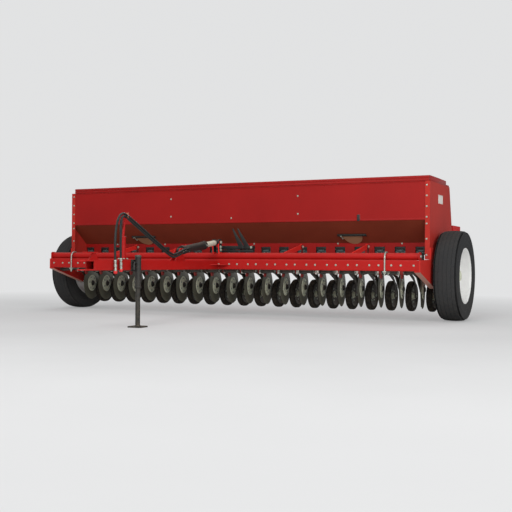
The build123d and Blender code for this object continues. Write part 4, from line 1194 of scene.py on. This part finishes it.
# %% Panel edges and slots
hems = [bent_rod([at(-1.905, .34, 1.2105), at(1.905, .34, 1.2105)], .0048, 3),
        block(at(-1.878, .3372, .88), at(1.878, .34, .896), .0012)]
settle(hems, "panel_hems", "frame", hopper_red)
slots = []
for x in (-1.279, 1.268):
    border = block(at(x - .019, .3368, .884), at(x + .019, .3392, .942), .0009)
    opening = block(at(x - .013, .3352, .879), at(x + .013, .3385, .936), .0012)
    slots += [coated(border, hopper_red), coated(opening, feed_black)]
settle(slots, "sight_slots", "frame")
badge = block(at(1.9095, .625, 1.038), at(1.9115, .785, 1.116), .0006)
edit(badge)
pick(badge, lambda middle, normal: normal.x > .9)
bpy.ops.mesh.inset(thickness=.006, depth=-.0004)
only(badge)
rivets = bolts(.003, [at(1.9113, y, z) for y in (.634, .776) for z in (1.045, 1.109)], RIGHT)
settle([coated(badge, pale_plate), rivets], "blank_plate", "frame")
print("slots", len(slots) // 2)

# %% [markdown]
# The walking board behind the hopper is pressed with small lozenges against slipping. One is an
# outline of four corners, extruded and narrowed towards its top; it is copied over the board,
# leaning left and right in turn.

# %% Walking board tread
LOZENGE = [(.015, 0, 0), (0, .0045, 0), (-.015, 0, 0), (0, -.0045, 0)]
lozenge = filled(LOZENGE, (0, 0, .0016), 0, taper=(.72, .55, 1))
COLUMNS, LINES, COLUMN_PITCH, LINE_PITCH = 76, 7, .05, .0448
spots = []
for column in range(COLUMNS):
    for line in range(LINES):
        lean = math.radians(45 if (column + line) % 2 else -45)
        place = at(-1.875 + column * COLUMN_PITCH, 1.258 + line * LINE_PITCH, .868)
        spots.append(shift(place) @ Matrix.Rotation(lean, 4, "Z"))
settle(many(lozenge, spots), "board_tread", "frame", frame_red, smooth=20)
print("lozenges", len(spots))

# %% [markdown]
# The lower edge of each wheel bracket is turned inwards, and its underside is painted a dusty pink
# for the light reflected up from the ground. A thin strip follows the slope under it.

# %% Bracket undersides
# Painted reflected light: the pale pink stands for ground light on the brackets' undersides.
reflection_pink = finish("underside_reflection_pink", (196, 140, 124), rough=.55, wear=.4)
STRIP = [(.004, .4305), (.496, .285), (.4955, .2835), (.0035, .429)]
strips = [plate(STRIP, low, high, 0) for low, high in ((1.87, 1.9195), (-1.9195, -1.87))]
settle(strips, "bracket_undersides", "frame", reflection_pink)
print("strips", len(strips))

# %% [markdown]
# Where the tongue meets the toolbar it is welded on three sides and stiffened by two corner
# plates. The bead is a thin bent rod; the corner plates are triangles, filled and extruded.

# %% Tongue joint
webs = [filled([at(side * x, y, .478) for x, y in ((.036, -.15), (.036, .001), (.15, .001))],
               (0, 0, .008), .001) for side in (-1, 1)]
seam = bent_rod([at(x, -.001, z) for x, z in
                 ((-.039, .44), (-.039, .5165), (.039, .5165), (.039, .44))], .0038, 2)
settle([*webs, seam], "tongue_webs", "frame", frame_red)
print("webs", len(webs))

# %% [markdown]
# The backdrop should be pale and even, while the light on the machine stays plain. The world
# shows its own pale colour to the camera and to reflections only. The floor keeps the machine's
# shadow near it and fades into that same pale colour further out, so no horizon shows.

# %% Pale floor and backdrop
PALE = (.76, .765, .77, 1)
NEAR, FAR = 3.0, 7.0                    # where the floor starts and ends to fade, in metres
sky = world.node_tree
shown = node(sky, "Background", {"Color": PALE, "Strength": 1.0}).outputs[0]
seen = node(sky, "LightPath").outputs
reflected = maths(sky, "MAXIMUM", seen["Is Glossy Ray"], seen["Is Transmission Ray"])
either = maths(sky, "MAXIMUM", seen["Is Camera Ray"], reflected)
blended = node(sky, "MixShader", {0: either, 1: sky.nodes["Background"].outputs[0], 2: shown})
feed(sky, sky.nodes["World Output"], {"Surface": blended.outputs[0]})

ground = bpy.data.materials.new("pale_floor")
ground.use_nodes = True
tree = ground.node_tree
paint = tree.nodes["Principled BSDF"]
mottle = remap(tree, noise(tree, .7, 4.0), .3, .7, .6, .66)
tint = node(tree, "CombineColor", {0: mottle, 1: mottle, 2: mottle}).outputs[0]
feed(tree, paint, {"Base Color": tint, "Roughness": 1.0, "Specular IOR Level": 0.0})
glow = node(tree, "Emission", {"Color": PALE, "Strength": 1.0}).outputs[0]
place = node(tree, "TexCoord").outputs["Object"]
distance = node(tree, "VectorMath", {0: place}, operation="LENGTH").outputs["Value"]
camera_only = node(tree, "LightPath").outputs["Is Camera Ray"]
fade = maths(tree, "MULTIPLY", remap(tree, distance, NEAR, FAR, .35, 1.0), camera_only)
faded = node(tree, "MixShader", {0: fade, 1: paint.outputs[0], 2: glow}).outputs[0]
feed(tree, tree.nodes["Material Output"], {"Surface": faded})
floor.data.materials.append(ground)
print("backdrop", PALE[:3])
